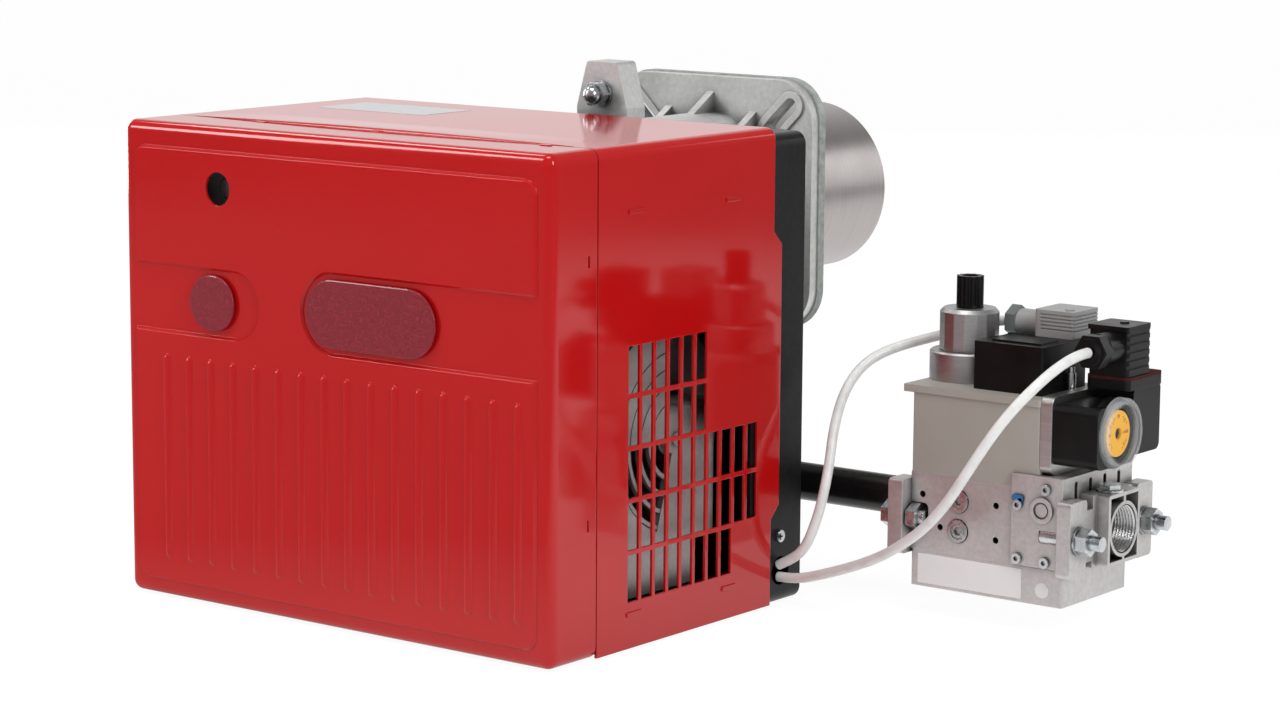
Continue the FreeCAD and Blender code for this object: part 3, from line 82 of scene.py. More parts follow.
# ---------------------------------------------------------------- shader maths
class Value:
    """A shader socket. Arithmetic on it adds Math nodes to its tree."""

    def __init__(self, nodes, socket):
        self.nodes = nodes
        self.socket = socket

    def math(self, operation, *others):
        """A Math node on this value and others."""
        values = dict(enumerate((self,) + others))
        return self.nodes.node("ShaderNodeMath", {"operation": operation}, values)

    def __add__(self, other):
        return self.math("ADD", other)

    def __sub__(self, other):
        return self.math("SUBTRACT", other)

    def __mul__(self, other):
        return self.math("MULTIPLY", other)

    def __rsub__(self, other):
        return self.nodes.node("ShaderNodeMath", {"operation": "SUBTRACT"}, {0: other, 1: self})

    __radd__ = __add__
    __rmul__ = __mul__

    def ramp(self, *stops):
        """The value run through two colour stops, each a place and a colour."""
        return self.nodes.node("ShaderNodeValToRGB", {"stops": stops}, {"Fac": self})

    def spread(self, start, end, to_start=0.0, to_end=1.0):
        """The value mapped from one range to another and clamped."""
        values = {"Value": self, "From Min": start, "From Max": end,
                  "To Min": to_start, "To Max": to_end}
        return self.nodes.node("ShaderNodeMapRange", {}, values)

    def vary(self, least=0.0, most=1.0):
        """A noise mapped from its usual range to another."""
        return self.spread(0.3, 0.7, least, most)


class Nodes:
    """A node tree that is filled from empty."""

    def __init__(self, tree):
        self.tree = tree
        tree.nodes.clear()

    def plug(self, node, socket, value):
        """A socket joined to a value or set to a constant."""
        target = node.inputs[socket]
        if isinstance(value, Value):
            self.tree.links.new(value.socket, target)
        elif isinstance(value, tuple) and len(target.default_value) == 4:
            target.default_value = (*value, 1.0)
        else:
            target.default_value = value

    def node(self, kind, settings, values, output=0):
        """A node of any type: its settings first, then its sockets, by name or number."""
        node = self.tree.nodes.new(kind)
        for setting, choice in settings.items():
            if setting == "stops":
                for stop, (place, shade) in zip(node.color_ramp.elements, choice):
                    stop.position = place
                    stop.color = (*shade, 1.0)
            else:
                setattr(node, setting, choice)
        for socket, value in values.items():
            self.plug(node, socket, value)
        return Value(self, node.outputs[output]) if output is not None else None

    def place(self, stretch=(1.0, 1.0, 1.0)):
        """The point on the object in metres, stretched along the axes."""
        point = self.node("ShaderNodeTexCoord", {}, {}, "Object")
        return self.node("ShaderNodeVectorMath", {"operation": "MULTIPLY"}, {0: point, 1: stretch})

    def distance(self, point, centre):
        """How far a point lies from another, in metres."""
        settings = {"operation": "DISTANCE"}
        return self.node("ShaderNodeVectorMath", settings, {0: point, 1: centre}, "Value")

    def ray(self, kind):
        """1 for one kind of ray, 0 for the rest."""
        return self.node("ShaderNodeLightPath", {}, {}, kind)


class Finish(Nodes):
    """A material in the making: one Principled shader and the nodes behind its sockets."""

    def __init__(self, name, values):
        self.material = bpy.data.materials.new(name)
        self.material.use_nodes = True
        super().__init__(self.material.node_tree)
        self.shader = self.tree.nodes.new("ShaderNodeBsdfPrincipled")
        skin = Value(self, self.shader.outputs[0])
        self.node("ShaderNodeOutputMaterial", {}, {0: skin}, None)
        self.set(values)

    def set(self, values):
        """The finish with some of its shader's sockets joined or set."""
        for socket, value in values.items():
            self.plug(self.shader, socket, value)
        return self

    def noise(self, scale, detail=3.0, stretch=(1.0, 1.0, 1.0), roughness=0.55):
        """Cloudy noise, whose scale counts its blotches to the metre."""
        values = {"Vector": self.place(stretch), "Scale": scale,
                  "Detail": detail, "Roughness": roughness}
        return self.node("ShaderNodeTexNoise", {}, values)

    def mix(self, factor, first, second):
        """A colour between two colours."""
        settings = {"data_type": "RGBA", "clamp_factor": True}
        return self.node("ShaderNodeMix", settings, {0: factor, 6: first, 7: second}, 2)

    def soft_edges(self, radius):
        """The surface's normal with its sharp edges rounded over."""
        return self.node("ShaderNodeBevel", {"samples": 6}, {"Radius": radius})

    def relief(self, height, depth, edges, strength):
        """The finish with a fine relief on its soft edges."""
        values = {"Height": height, "Distance": depth, "Strength": strength, "Normal": edges}
        return self.set({"Normal": self.node("ShaderNodeBump", {}, values)})

    def shelter(self, distance):
        """Ambient occlusion as a mask for painted shade: 0 deep in a recess, 1 on open faces."""
        settings = {"samples": 6}
        depth = self.node("ShaderNodeAmbientOcclusion", settings, {"Distance": distance}, "AO")
        return depth.spread(0.25, 0.9)

    def edge_wear(self, edges):
        """1 where a sharp edge turns the normal, 0 on flat faces."""
        plain = self.node("ShaderNodeNewGeometry", {}, {}, "Normal")
        settings = {"operation": "DOT_PRODUCT"}
        turned = self.node("ShaderNodeVectorMath", settings, {0: edges, 1: plain}, "Value")
        return (1.0 - turned).spread(0.01, 0.35)


def scaled(shade, factor, lift=0.0):
    """A colour made darker or brighter, up to white."""
    return tuple(min(1.0, part * factor + lift) for part in shade)


# ---------------------------------------------------------------- finishes
def red_enamel():
    """Oven-baked gloss red with a faint orange peel and a little dust."""
    finish = Finish("red_enamel", {"Specular IOR Level": 0.5})
    cloud = finish.noise(7.0, 2.0)
    dust = finish.noise(420.0, 2.0).spread(0.70, 0.80)
    base = finish.mix(cloud, (0.48, 0.0045, 0.0050), (0.54, 0.0065, 0.0070))
    finish.set({"Base Color": finish.mix(dust * 0.06, base, (0.60, 0.10, 0.09))})
    finish.set({"Roughness": cloud.vary(0.06, 0.10)})
    return finish.relief(finish.noise(650.0, 1.5), 0.012 * mm, finish.soft_edges(0.5 * mm), 0.4)


def black_enamel():
    """Satin black paint on sheet steel."""
    finish = Finish("black_enamel", {"Specular IOR Level": 0.20})
    speck = finish.noise(300.0, 4.0)
    base = speck.ramp((0.35, (0.004, 0.004, 0.005)), (0.75, (0.010, 0.010, 0.011)))
    finish.set({"Base Color": base, "Roughness": finish.noise(40.0).vary(0.30, 0.42)})
    return finish.relief(finish.noise(900.0, 2.0), 0.05 * mm, finish.soft_edges(0.5 * mm), 0.6)


def casting(name, shade, grain, polish=0.0, painted_shade_reach=6 * mm):
    """Die-cast aluminium: a fine grain, soft blotches, bright worn edges and painted shade in its
    hollows.
    """
    finish = Finish(name, {"Metallic": 0.75 + 0.2 * polish})
    blotch = finish.noise(28.0, 4.0)
    speckle = finish.noise(330.0, 4.0, roughness=0.7)
    edges = finish.soft_edges(0.6 * mm)
    mottle = blotch.vary() * 0.6 + speckle.spread(0.35, 0.65) * 0.4
    clean = finish.mix(mottle, scaled(shade, 0.68), shade)
    worn = finish.mix(finish.edge_wear(edges) * 0.6, clean, (0.88, 0.88, 0.87))
    # painted shade: the colour goes near black where the occlusion mask finds a recess
    finish.set({"Base Color": finish.mix(finish.shelter(painted_shade_reach), scaled(shade, 0.08), worn)})
    finish.set({"Roughness": blotch.vary(0.40 - 0.12 * polish, 0.55 - 0.12 * polish)})
    skin = finish.noise(1100.0, 3.0) * 0.6 + finish.noise(260.0, 3.0) * 0.8
    return finish.relief(skin, 0.09 * mm * grain, edges, 0.7)


def brushed(name, shade, grain, roughness):
    """Machined or brushed metal with fine lines, drawn out by the grain's stretch."""
    finish = Finish(name, {"Metallic": 1.0})
    lines = finish.noise(500.0, 3.0, grain)
    blotch = finish.noise(35.0, 3.0)
    finish.set({"Base Color": finish.mix(lines.spread(0.25, 0.75), scaled(shade, 0.80), shade)})
    finish.set({"Roughness": (lines * 0.16 + blotch * 0.12) + (roughness - 0.14)})
    return finish.relief(lines, 0.02 * mm, finish.soft_edges(0.4 * mm), 0.5)


def zinc():
    """Zinc-plated fasteners, with painted shade in their sockets."""
    finish = Finish("zinc", {"Metallic": 1.0})
    blotch = finish.noise(160.0, 3.0)
    base = blotch.ramp((0.3, (0.46, 0.49, 0.51)), (0.7, (0.74, 0.76, 0.77)))
    # painted shade: near black deep in the sockets
    finish.set({"Base Color": finish.mix(finish.shelter(2.5 * mm), (0.03, 0.03, 0.03), base)})
    finish.set({"Roughness": blotch.vary(0.20, 0.34)})
    return finish.relief(finish.noise(900.0, 2.0), 0.02 * mm, finish.soft_edges(0.3 * mm), 0.5)


def blackened():
    """Blackened steel pipe with a dull sheen."""
    finish = Finish("blackened_steel", {"Metallic": 0.6})
    blotch = finish.noise(60.0, 4.0, (0.35, 1.0, 1.0))
    base = blotch.ramp((0.3, (0.012, 0.011, 0.011)), (0.75, (0.040, 0.037, 0.035)))
    finish.set({"Base Color": base, "Roughness": blotch.vary(0.20, 0.34)})
    return finish.relief(finish.noise(700.0, 3.0), 0.04 * mm, finish.soft_edges(0.4 * mm), 0.6)


def moulded(name, shade, roughness, grain=1.0, coat=0.0, sheen=0.5):
    """Moulded plastic with a fine spark-eroded texture."""
    values = {"Specular IOR Level": sheen, "Coat Weight": coat, "Coat Roughness": 0.08}
    finish = Finish(name, values)
    blotch = finish.noise(50.0, 3.0)
    edges = finish.soft_edges(0.35 * mm)
    base = finish.mix(blotch.vary(), shade, scaled(shade, 1.25, 0.004))
    worn = finish.mix(finish.edge_wear(edges) * 0.4, base, scaled(shade, 1.5, 0.02))
    finish.set({"Base Color": worn})
    finish.set({"Roughness": blotch.vary(roughness - 0.06, roughness + 0.06)})
    return finish.relief(finish.noise(1300.0, 2.0), 0.05 * mm * grain, edges, 0.6)


def coil_paint():
    """Beige-grey powder coat of the coil housing."""
    finish = Finish("coil_paint", {"Specular IOR Level": 0.4})
    blotch = finish.noise(20.0, 3.0)
    base = finish.mix(blotch, (0.350, 0.335, 0.300), (0.430, 0.412, 0.372))
    finish.set({"Base Color": base, "Roughness": blotch.vary(0.40, 0.50)})
    return finish.relief(finish.noise(800.0, 3.0), 0.05 * mm, finish.soft_edges(0.5 * mm), 0.6)


def fibre(name, shade):
    """Pressed-fibre gasket, matt and mottled."""
    finish = Finish(name, {"Roughness": 0.85, "Specular IOR Level": 0.25})
    mottle = finish.noise(240.0, 5.0)
    finish.set({"Base Color": finish.mix(mottle.vary(), scaled(shade, 0.6), shade)})
    return finish.relief(mottle, 0.15 * mm, finish.soft_edges(0.3 * mm), 0.8)


def cable_sheath():
    """White glossy cable sheath, slightly scuffed."""
    values = {"Specular IOR Level": 0.5, "Coat Weight": 0.2, "Coat Roughness": 0.12}
    finish = Finish("cable_sheath", values)
    scuff = finish.noise(120.0, 4.0)
    base = scuff.ramp((0.30, (0.76, 0.77, 0.76)), (0.55, (0.86, 0.87, 0.86)))
    finish.set({"Base Color": base, "Roughness": scuff.vary(0.28, 0.40)})
    return finish.relief(finish.noise(500.0, 2.0), 0.04 * mm, finish.soft_edges(0.2 * mm), 0.4)


def badge_foil():
    """Dark crimson foil with a fine glitter under a clear dome."""
    finish = Finish("badge_foil", {"Coat Weight": 0.5, "Coat Roughness": 0.05, "Metallic": 0.1})
    flakes = {"Vector": finish.place(), "Scale": 2600.0}
    glitter = finish.node("ShaderNodeTexVoronoi", {}, flakes, "Color")
    sparkle = finish.node("ShaderNodeSeparateColor", {}, {0: glitter})
    base = finish.mix(sparkle.spread(0.72, 1.0), (0.22, 0.005, 0.014), (0.50, 0.03, 0.06))
    finish.set({"Base Color": base, "Roughness": sparkle.spread(0.0, 1.0, 0.45, 0.20)})
    return finish.relief(sparkle, 0.02 * mm, finish.soft_edges(0.4 * mm), 0.3)


def label_film(name, shade):
    """Plain coloured film or ink."""
    finish = Finish(name, {"Specular IOR Level": 0.5})
    tone = finish.noise(90.0, 3.0)
    base = finish.mix(tone, scaled(shade, 0.93), shade)
    finish.set({"Base Color": base, "Roughness": tone.vary(0.30, 0.42)})
    return finish.relief(tone, 0.02 * mm, finish.soft_edges(0.1 * mm), 0.4)


def clear_cover():
    """The pressure switch's cover: clear over the dial, milky round its rim."""
    clear_radius = 15.2 * mm
    milky_radius = 17.2 * mm
    finish = Finish("clear_cover", {"IOR": 1.49, "Base Color": (0.80, 0.83, 0.84)})
    haze = finish.noise(200.0, 2.0)
    off_axis = finish.distance(finish.place((0.0, 1.0, 1.0)), (0.0, dial_axis.y, dial_axis.z))
    rim = off_axis.spread(clear_radius, milky_radius, 0.01, 0.28)
    finish.set({"Alpha": rim + haze * 0.03, "Roughness": haze.vary(0.03, 0.10)})
    return finish.relief(haze, 0.01 * mm, finish.soft_edges(0.4 * mm), 0.3)


def dial_orange():
    """The yellow-orange scale disc."""
    finish = Finish("dial_orange", {"Specular IOR Level": 0.4})
    tone = finish.noise(150.0, 2.0)
    base = finish.mix(tone, (0.97, 0.44, 0.004), (1.0, 0.54, 0.010))
    finish.set({"Base Color": base, "Roughness": tone.vary(0.35, 0.45)})
    return finish.relief(tone, 0.01 * mm, finish.soft_edges(0.2 * mm), 0.3)


finishes = {
    "red": red_enamel(),
    "black paint": black_enamel(),
    # painted shade reaches deepest into the fan's castings, so their insides look unlit
    "fan casting": casting("fan_casting", (0.72, 0.72, 0.71), grain=1.4, painted_shade_reach=22 * mm),
    "neck casting": casting("neck_casting_skin", (0.82, 0.82, 0.81), grain=1.2, painted_shade_reach=12 * mm),
    "valve casting": casting("valve_casting", (0.72, 0.70, 0.69), grain=1.3, polish=0.35),
    "valve face": brushed("valve_face", (0.66, 0.66, 0.65), (0.06, 1.0, 1.0), 0.36),
    "brushed steel": brushed("brushed_steel", (0.505, 0.467, 0.458), (0.05, 1.6, 0.05), 0.34),
    "turned aluminium": brushed("turned_aluminium", (0.56, 0.55, 0.55), (0.3, 0.3, 3.0), 0.44),
    "galvanised": brushed("galvanised_sheet", (0.50, 0.51, 0.52), (1.0, 1.0, 0.4), 0.36),
    # The impeller's galvanised sheet is painted near black: painted shade for the fan's unlit
    # inside.
    "sheet in painted shade": brushed("impeller_sheet_in_painted_shade", (0.10, 0.10, 0.10), (1.0, 1.0, 0.4), 0.50),
    "zinc": zinc(),
    "blackened": blackened(),
    "coil": coil_paint(),
    "black plastic": moulded("black_plastic", (0.003, 0.003, 0.003), 0.34, sheen=0.22),
    "gloss black": moulded("gloss_black_plastic", (0.030, 0.030, 0.032), 0.16, grain=0.2, coat=0.6),
    "grey plastic": moulded("grey_plastic", (0.30, 0.305, 0.30), 0.42),
    "dark grey plastic": moulded("dark_grey_plastic", (0.13, 0.145, 0.14), 0.42),
    "motor paint": moulded("motor_paint", (0.18, 0.19, 0.20), 0.5),
    "glaze": moulded("white_glaze", (0.72, 0.70, 0.64), 0.2, grain=0.3, coat=0.4),
    "gasket": fibre("fibre_gasket", (0.46, 0.49, 0.47)),
    "red gasket": fibre("red_gasket", (0.075, 0.012, 0.010)),
    "sheath": cable_sheath(),
    "foil": badge_foil(),
    "label": label_film("white_label", (0.93, 0.93, 0.94)),
    "clear": clear_cover(),
    "orange": dial_orange(),
    # The hood's white paper label painted grey: painted shade for its grazing view.
    "label in painted shade": label_film("white_label_in_painted_shade", (0.60, 0.60, 0.61)),
    "ink": label_film("dial_ink", (0.20, 0.09, 0.01)),
    "thread": brushed("cut_thread", (0.66, 0.66, 0.66), (0.3, 1.0, 1.0), 0.26),
    "blue mark": label_film("blue_mark", (0.02, 0.16, 0.42)),
}

worn_by = {
    "red": ["front_panel", "hood_wrap"],
    "black paint": ["rear_shield"],
    "fan casting": ["fan_housing", "intake_drum", "intake_guard", "motor_end_caps"],
    "neck casting": ["neck_casting", "boiler_flange"],
    "valve casting": ["outlet_flange", "inlet_flange", "valve_side_block", "valve_body",
                      "valve_base"],
    "valve face": ["switch_plate"],
    "brushed steel": ["blast_tube", "gas_head", "swirl_disc"],
    "turned aluminium": ["brake_ring", "brake_cylinder"],
    "galvanised": ["air_shutter"],
    "sheet in painted shade": ["impeller"],
    "zinc": ["housing_screws", "lug_fastening", "flange_studs", "valve_screws", "test_fittings",
             "button_spring", "motor_shaft", "motor_bearings", "electrode_clamp"],
    "blackened": ["gas_pipe", "gas_elbow", "head_elbow"],
    "coil": ["coil_housing", "coil_lid"],
    "black plastic": ["control_base", "ignition_transformer", "air_switch_dial",
                      "terminal_block", "brake_cap", "terminal_box", "gas_switch",
                      "leak_switch", "black_plug", "black_gland_nut"],
    "gloss black": ["reset_button"],
    "grey plastic": ["control_box", "air_pressure_switch", "grey_plug", "capacitor"],
    "dark grey plastic": ["grey_gland_nut"],
    "motor paint": ["motor_stator"],
    "glaze": ["electrodes"],
    "gasket": ["flange_gasket"],
    "red gasket": ["switch_gasket"],
    "clear": ["switch_window"],
    "orange": ["switch_dial"],
}
for finish_name, node_names in worn_by.items():
    for node_name in node_names:
        for material_slot in frame["nodes"][node_name].material_slots:
            material_slot.material = finishes[finish_name].material


# ---------------------------------------------------------------- piece helpers
def linked(name, data):
    """A new object in the scene."""
    item = bpy.data.objects.new(name, data)
    bpy.context.scene.collection.objects.link(item)
    return item


def turn_to(item, rotation):
    """An object turned to a quaternion."""
    item.rotation_mode = "QUATERNION"
    item.rotation_quaternion = rotation


def dressed(piece, finish_name, body):
    """A new piece given its finish and the body it rides on."""
    piece.data.materials.append(finishes[finish_name].material)
    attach(piece, body)
    return piece


weld = 1e-6                           # corners closer than this are one
corner_steps = 8                      # of a plate's round corner
sharpest = 0.05 * mm                  # the least radius of a plate's corner
ease = 0.3                            # share of a plate's bevel that its first step takes


def mesh_piece(name, shape):
    """A bmesh welded, faced outwards and turned into an object of the scene."""
    bmesh.ops.remove_doubles(shape, verts=shape.verts, dist=weld)
    data = bpy.data.meshes.new(name)
    bmesh.ops.recalc_face_normals(shape, faces=shape.faces)
    shape.to_mesh(data)
    shape.free()
    return linked(name, data)


def rounded_outline(width, height, corner, inset):
    """Points round a rounded rectangle, brought in evenly by an inset."""
    radius = max(corner - inset, sharpest)
    reach_across = width / 2 - inset - radius
    reach_up = height / 2 - inset - radius
    points = []
    for quarter, (right, upper) in enumerate(((1, 1), (-1, 1), (-1, -1), (1, -1))):
        for step in range(corner_steps + 1):
            turn = math.pi / 2 * (quarter + step / corner_steps)
            points.append((right * reach_across + radius * math.cos(turn),
                           upper * reach_up + radius * math.sin(turn)))
    return points


def tile(name, centre, size, corner, thickness, bevel, along, top):
    """A flat round-cornered plate, bevelled round its face, that faces against an axis."""
    across = top.cross(along)
    levels = ((0.0, 0.0), (0.0, thickness - bevel),
              (bevel * ease, thickness - bevel * ease), (bevel, thickness))
    shape = bmesh.new()
    rings = []
    for inset, level in levels:
        outline = rounded_outline(*size, corner, inset)
        rings.append([shape.verts.new(centre + across * a + top * b - along * level)
                      for a, b in outline])
    for lower, upper in zip(rings, rings[1:]):
        for k in range(len(lower)):
            following = (k + 1) % len(lower)
            shape.faces.new((lower[k], lower[following], upper[following], upper[k]))
    shape.faces.new(rings[-1])
    shape.faces.new(rings[0])
    return mesh_piece(name, shape)


def surface(name, columns, rows, place):
    """A smooth sheet of mesh whose corners a function places."""
    shape = bmesh.new()
    corners = [[shape.verts.new(place(i / columns, j / rows)) for j in range(rows + 1)]
               for i in range(columns + 1)]
    for i in range(columns):
        for j in range(rows):
            shape.faces.new((corners[i][j], corners[i + 1][j],
                             corners[i + 1][j + 1], corners[i][j + 1]))
    piece = mesh_piece(name, shape)
    piece.data.shade_smooth()
    return piece


# ---------------------------------------------------------------- cables
cable_radius = 2.8 * mm


def cable(name, route, replaced):
    """A free cable on a smooth line through its route's control points."""
    curve = bpy.data.curves.new(name, "CURVE")
    curve.dimensions = "3D"
    curve.bevel_depth = cable_radius
    curve.bevel_resolution = 6
    curve.resolution_u = 12
    curve.use_fill_caps = True
    line = curve.splines.new("NURBS")
    line.points.add(len(route) - 1)
    for point, place in zip(line.points, route):
        point.co = (*place, 1.0)
    line.order_u = 3
    line.use_endpoint_u = True
    piece = dressed(linked(name, curve), "sheath", "burner")
    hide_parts(replaced)


def routed(points):
    """Route points in millimetres from the lower front corner of the hood's right side."""
    return [(side + x * mm, front + y * mm, low + z * mm) for x, y, z in points]


upper_route = routed([
    (-2, 205, 20.5), (7, 205.5, 25), (14.5, 205.5, 31.5), (19.5, 206, 41.5), (23, 209.5, 57.5),
    (23, 216, 76.5), (19.5, 225, 96), (17.5, 236, 112.5), (18.5, 247, 124), (22.5, 257.5, 132),
    (31, 269, 137.5), (43.5, 279, 142), (57.5, 285, 146.5), (80.5, 287.7, 154.5),
    (91.5, 287.5, 156)])
lower_route = routed([
    (-2, 205, 14), (10, 205, 14), (30.5, 202.5, 20.5), (51, 198, 28), (71, 193, 36.5),
    (89.5, 187, 47), (106.5, 182.5, 59), (122, 179, 74.5), (134.5, 178, 92.5), (145, 180.5, 110),
    (154, 187.5, 125.5), (161.5, 199, 138), (166.5, 213, 147), (168.5, 230, 151.5),
    (168.5, 240, 151.5)])
cable("upper_cable", upper_route, replaced="cable_a")
cable("lower_cable", lower_route, replaced="cable_b")

# ---------------------------------------------------------------- badges on the front panel
band_face = front + press
badges = (                            # across, above the hood's lower edge, width, height
    ("round_badge", -0.082, 0.1668, 0.0325, 0.0305),
    ("long_badge", 0.0312, 0.169, 0.0895, 0.0365),
)
for name, x, z, width, height in badges:
    badge = tile(name, Vector((x, band_face, low + z)), (width, height), corner=height / 2,
                 thickness=1.2 * mm, bevel=0.7 * mm, along=forward, top=up)
    dressed(badge, "foil", "hood")

# ---------------------------------------------------------------- hood top: lip, tabs, bare label
hidden_strip = 9.0 * mm               # the wrap's reach under the front panel
wrap_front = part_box("hood_wrap")[0].y + hidden_strip
lip_margin = 14 * mm                  # from the hood's side to the lip's end
lip_bow = 1.3 * mm                    # the lip's rise in the middle
lip_run = 45 * mm                     # over which the bow fades out
lip_sink = 0.06 * mm                  # the sheet's start below the hood's top
cut_share = 0.1                       # of the sheet's rows, for the cut face
cut_depth = 0.5 * mm                  # of the cut face


def bowed(across, along):
    """The wrap's top edge, bowed up a little in the middle, its cut face towards the front."""
    reach = side - lip_margin
    x = reach * (2 * across - 1)
    bow = lip_bow * (1 - (x / reach) ** 2)
    run = max(0.0, along - cut_share) / (1 - cut_share)
    fade = 0.5 + 0.5 * math.cos(math.pi * run)
    rise = bow * fade if along > cut_share / 2 else -cut_depth
    return (x, wrap_front + run * lip_run, high - lip_sink + rise)


dressed(surface("top_lip", columns=40, rows=20, place=bowed), "red", "hood")

tab_size = (8.0 * mm, 3.2 * mm)
tab_middle = wrap_front - 2.6 * mm
tab_foot = high - 0.1 * mm
for number, x in enumerate((-79.0, 4.0, 118.0)):
    tab = tile(f"top_tab_{number + 1}", Vector((x * mm, tab_middle, tab_foot)), tab_size,
               corner=tab_size[1] / 2, thickness=0.6 * mm, bevel=0.3 * mm, along=down, top=forward)
    dressed(tab, "red", "hood")

# The top label is white paper; its grey finish is painted shade.
label_centre = Vector((-0.0805, front + 0.147, high))
label_size = (0.079, 0.042)
top_label = tile("top_label", label_centre, label_size, corner=1.0 * mm, thickness=0.15 * mm,
                 bevel=0.08 * mm, along=down, top=forward)
dressed(top_label, "label in painted shade", "hood")

# ---------------------------------------------------------------- button spring, shield's screw
spring_low, spring_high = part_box("button_spring")
spring_middle = (spring_low + spring_high) / 2
spring_turns = 2.25
spring_radius = 4.9 * mm              # at the button
spring_flare = 0.9 * mm               # wider by this much at the control box
wire = 0.35 * mm                      # the wire's radius
spring_length = spring_high.y - spring_low.y - 2 * wire


def coiled(around, along):
    """The wire of a conical spring, whose turns nest when it is pressed."""
    turn = 2 * math.pi * spring_turns * along
    swing = 2 * math.pi * around
    radius = spring_radius + spring_flare * along + wire * math.cos(swing)
    run = spring_low.y + wire + spring_length * along + wire * math.sin(swing)
    return (spring_middle.x + radius * math.cos(turn), run,
            spring_middle.z + radius * math.sin(turn))


coils = surface("coil_spring", columns=10, rows=90, place=coiled)
spring = dressed(coils, "zinc", "burner")
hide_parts("button_spring")
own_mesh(spring)

screw_centre = Vector((side + 0.7 * mm, front + 0.203, low + 0.037))
cross_length = 3.8 * mm
cross_width = 0.9 * mm
# Painted shade: two thin black tiles on the shield's screw head stand for the dark of its cross
# recess.
for number, size in enumerate(((cross_length, cross_width), (cross_width, cross_length))):
    cross_shade = tile(f"screw_cross_shade_{number + 1}", screw_centre, size, corner=0.3 * mm,
                  thickness=0.1 * mm, bevel=0.03 * mm, along=inward, top=up)
    dressed(cross_shade, "black plastic", "burner")

# ---------------------------------------------------------------- gas valve: labels, thread, dial
valve_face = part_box("valve_base")[0].y
block_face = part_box("valve_side_block")[0].y
plate_bevel = 0.4                     # share of a plate's thickness
plates = (                            # finish, centre, size, then corner and thickness in mm
    ("base_label", "label", (0.2541, valve_face, low + 0.0250), (0.0651, 0.0164), 0.6, 0.15),
    ("round_label", "label", (0.2994, valve_face, low + 0.0232), (0.0084, 0.0084), 4.2, 0.15),
    ("blue_mark_1", "blue mark", (0.2856, block_face, low + 0.0722), (0.0070, 0.0035), 1.4, 0.10),
    ("blue_mark_2", "blue mark", (0.2872, block_face, low + 0.0696), (0.0026, 0.0052), 1.2, 0.10),
)
for name, finish_name, place, size, corner, thickness in plates:
    plate = tile(name, Vector(place), size, corner=corner * mm, thickness=thickness * mm,
                 bevel=thickness * plate_bevel * mm, along=forward, top=up)
    dressed(plate, finish_name, "burner")

inlet_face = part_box("inlet_flange")[1].x
thread_turns = 7
thread_pitch = 1.81 * mm
thread_radius = 12.55 * mm            # midway between crests and roots
thread_depth = 0.45 * mm              # from there to a crest or root
thread_start = 0.8 * mm               # in from the inlet's face


def threaded(around, along):
    """A pipe thread's crests and roots on the inlet's bore."""
    turn = 2 * math.pi * around
    wave = math.cos(2 * math.pi * thread_turns * along - turn)
    radius = thread_radius + thread_depth * wave
    return (inlet_face - thread_start - along * thread_turns * thread_pitch,
            gas_axis.y + radius * math.cos(turn), gas_axis.z + radius * math.sin(turn))


thread = surface("inlet_thread", columns=48, rows=70, place=threaded)
dressed(thread, "thread", "burner")

dial_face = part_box("switch_dial")[1].x
upright_facing_right = Matrix(((0, 0, 1), (1, 0, 0), (0, 1, 0))).to_quaternion()
numeral_circle = 9.0 * mm
first_angle = 225                     # degrees from the right, as the dial is looked at
angle_step = 45
readings = range(5, 40, 5)
for number, reading in enumerate(readings):
    turn = math.radians(first_angle - angle_step * number)
    digits = bpy.data.curves.new(f"dial_number_{number + 1}", "FONT")
    digits.body = str(reading)
    digits.size = 2.6 * mm
    digits.extrude = 0.04 * mm
    digits.align_x = "CENTER"
    digits.align_y = "CENTER"
    numeral = linked(digits.name, digits)
    numeral.location = (dial_face, dial_axis.y + numeral_circle * math.cos(turn),
                        dial_axis.z + numeral_circle * math.sin(turn))
    turn_to(numeral, upright_facing_right)
    dressed(numeral, "ink", "pressure_dial")

# ---------------------------------------------------------------- camera, floor, lights
camera_data = bpy.data.cameras.new("camera")
camera_data.lens = 96.2
camera_data.clip_end = 50
camera = linked("camera", camera_data)
camera.location = (1.2027, -1.6552, 0.2292)
azimuth, elevation, roll = (math.radians(angle) for angle in (37.37, 9.14, 0.38))
to_camera = Vector((math.sin(azimuth) * math.cos(elevation),
                    -math.cos(azimuth) * math.cos(elevation), math.sin(elevation)))
level_camera = (-to_camera).to_track_quat("-Z", "Y")
turn_to(camera, level_camera @ Matrix.Rotation(roll, 3, "Z").to_quaternion())
bpy.context.scene.camera = camera


def background_seen(nodes):
    """1 where the background is looked at, mirrored or seen through glass."""
    mirrored = nodes.ray("Is Glossy Ray")
    through = nodes.ray("Is Transmission Ray")
    return nodes.ray("Is Camera Ray").math("MAXIMUM", mirrored).math("MAXIMUM", through)


def studio_sheet(name, half_side):
    """A square sheet of the studio, and the nodes of its material."""
    shape = bmesh.new()
    bmesh.ops.create_grid(shape, x_segments=1, y_segments=1, size=half_side)
    data = bpy.data.meshes.new(name)
    shape.to_mesh(data)
    shape.free()
    material = bpy.data.materials.new(name)
    material.use_nodes = True
    data.materials.append(material)
    return linked(name, data), Nodes(material.node_tree)


def lit_surface(nodes, shade, strength, share):
    """A matt surface, of which a glow takes a share."""
    matt = nodes.node("ShaderNodeBsdfDiffuse", {}, {"Color": shade})
    glow = nodes.node("ShaderNodeEmission", {}, {"Strength": strength})
    mixed = nodes.node("ShaderNodeMixShader", {}, {0: share, 1: matt, 2: glow})
    nodes.node("ShaderNodeOutputMaterial", {}, {0: mixed}, None)


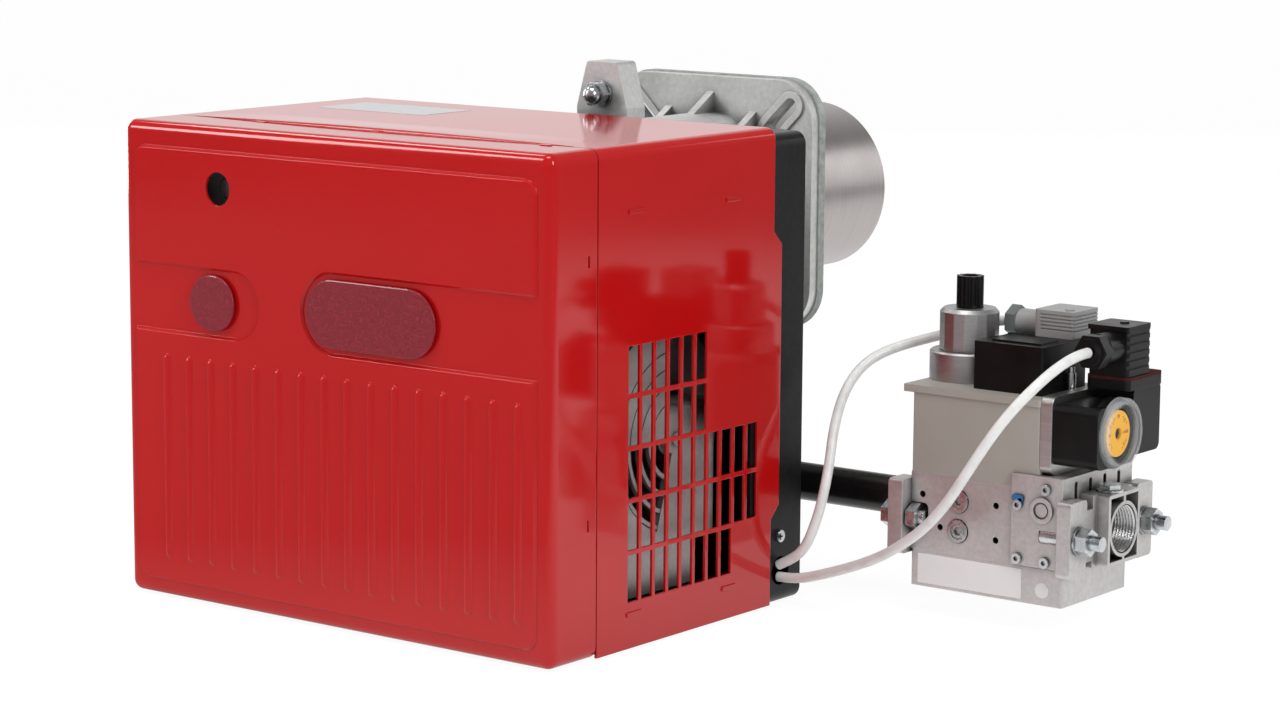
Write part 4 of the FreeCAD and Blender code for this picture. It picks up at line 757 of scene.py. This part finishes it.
def studio_floor():
    """A pale floor that keeps the shadow, meets a white background and is mirrored less far off."""
    bright_spot = (0.5, 0.35, 0.0)    # the middle of what is mirrored brightly
    dimming_start = 0.6               # from the bright spot, in metres
    dimming_end = 1.1
    pale = 0.86                       # the floor's grey, and what it loses far off in a mirror
    pale_loss = 0.62
    glow_share = 0.86                 # the glow's share, and how much of it is lost there
    glow_loss = 0.9
    floor, nodes = studio_sheet("floor", half_side=6)
    floor.location.z = floor_height
    away = nodes.distance(nodes.place(), bright_spot)
    far_off = nodes.ray("Is Glossy Ray") * away.spread(dimming_start, dimming_end)
    share = background_seen(nodes) * (1.0 - far_off * glow_loss) * glow_share
    lit_surface(nodes, pale - far_off * pale_loss, strength=1.08, share=share)


def studio_backdrop():
    """A white screen behind the burner, for its top and its castings to mirror."""
    distance = 2.6
    height = 0.9
    level_direction = Vector((to_camera.x, to_camera.y, 0))
    screen, nodes = studio_sheet("backdrop", half_side=1)
    screen.location = (-level_direction).normalized() * distance
    screen.location.z = height
    turn_to(screen, level_direction.to_track_quat("Z", "Y"))
    screen.scale = (2.2, 1.2, 1.0)
    screen.visible_camera = False
    screen.visible_shadow = False
    lit_surface(nodes, (0.80, 0.80, 0.80), strength=0.85, share=background_seen(nodes))


def studio_world():
    """Soft even light: white where it is looked at, a grey room where it is mirrored."""
    room = 0.50                       # the level that lights the burner
    mirrored_loss = 0.22              # darker by this much in its metal and gloss
    world = bpy.data.worlds.new("studio")
    bpy.context.scene.world = world
    world.use_nodes = True
    nodes = Nodes(world.node_tree)
    seen = nodes.ray("Is Camera Ray")
    level = seen.spread(0.0, 1.0, room, 1.0) - nodes.ray("Is Glossy Ray") * mirrored_loss
    values = {"Color": (1.0, 1.0, 1.0), "Strength": level}
    background = nodes.node("ShaderNodeBackground", {}, values)
    nodes.node("ShaderNodeOutputWorld", {}, {0: background}, None)


lamp_aim = Vector((0.05, -0.2, -0.05))     # near the burner's middle


def softbox(name, place, size, power, only_mirrored):
    """A rectangular area lamp turned to the lamps' common aim."""
    lamp_data = bpy.data.lights.new(name, "AREA")
    lamp_data.shape = "RECTANGLE"
    lamp_data.size, lamp_data.size_y = size
    lamp_data.energy = power
    lamp = linked(name, lamp_data)
    lamp.location = place
    lamp.visible_diffuse = not only_mirrored
    turn_to(lamp, (lamp_aim - Vector(place)).to_track_quat("-Z", "Y"))


lamps = (                             # place, width and height, watts, whether only mirrored
    ("top_lamp", (0.1, -0.6, 1.6), (0.7, 0.5), 9, False),
    ("upper_left_lamp", (-1.2, -0.1, 1.4), (0.4, 0.4), 3.5, False),
    ("left_lamp", (-1.35, -1.5, 0.95), (0.35, 1.2), 12, False),
    ("right_lamp", (1.7, -0.8, 0.8), (0.35, 0.9), 11, False),
    ("left_card", (-1.9, 0.1, 0.35), (0.6, 1.1), 12, True),
    ("rear_card", (1.0, 1.9, 0.5), (0.6, 1.1), 4, True),
)
studio_floor()
studio_backdrop()
studio_world()
for lamp_values in lamps:
    softbox(*lamp_values)
bpy.context.scene.view_settings.view_transform = "Standard"
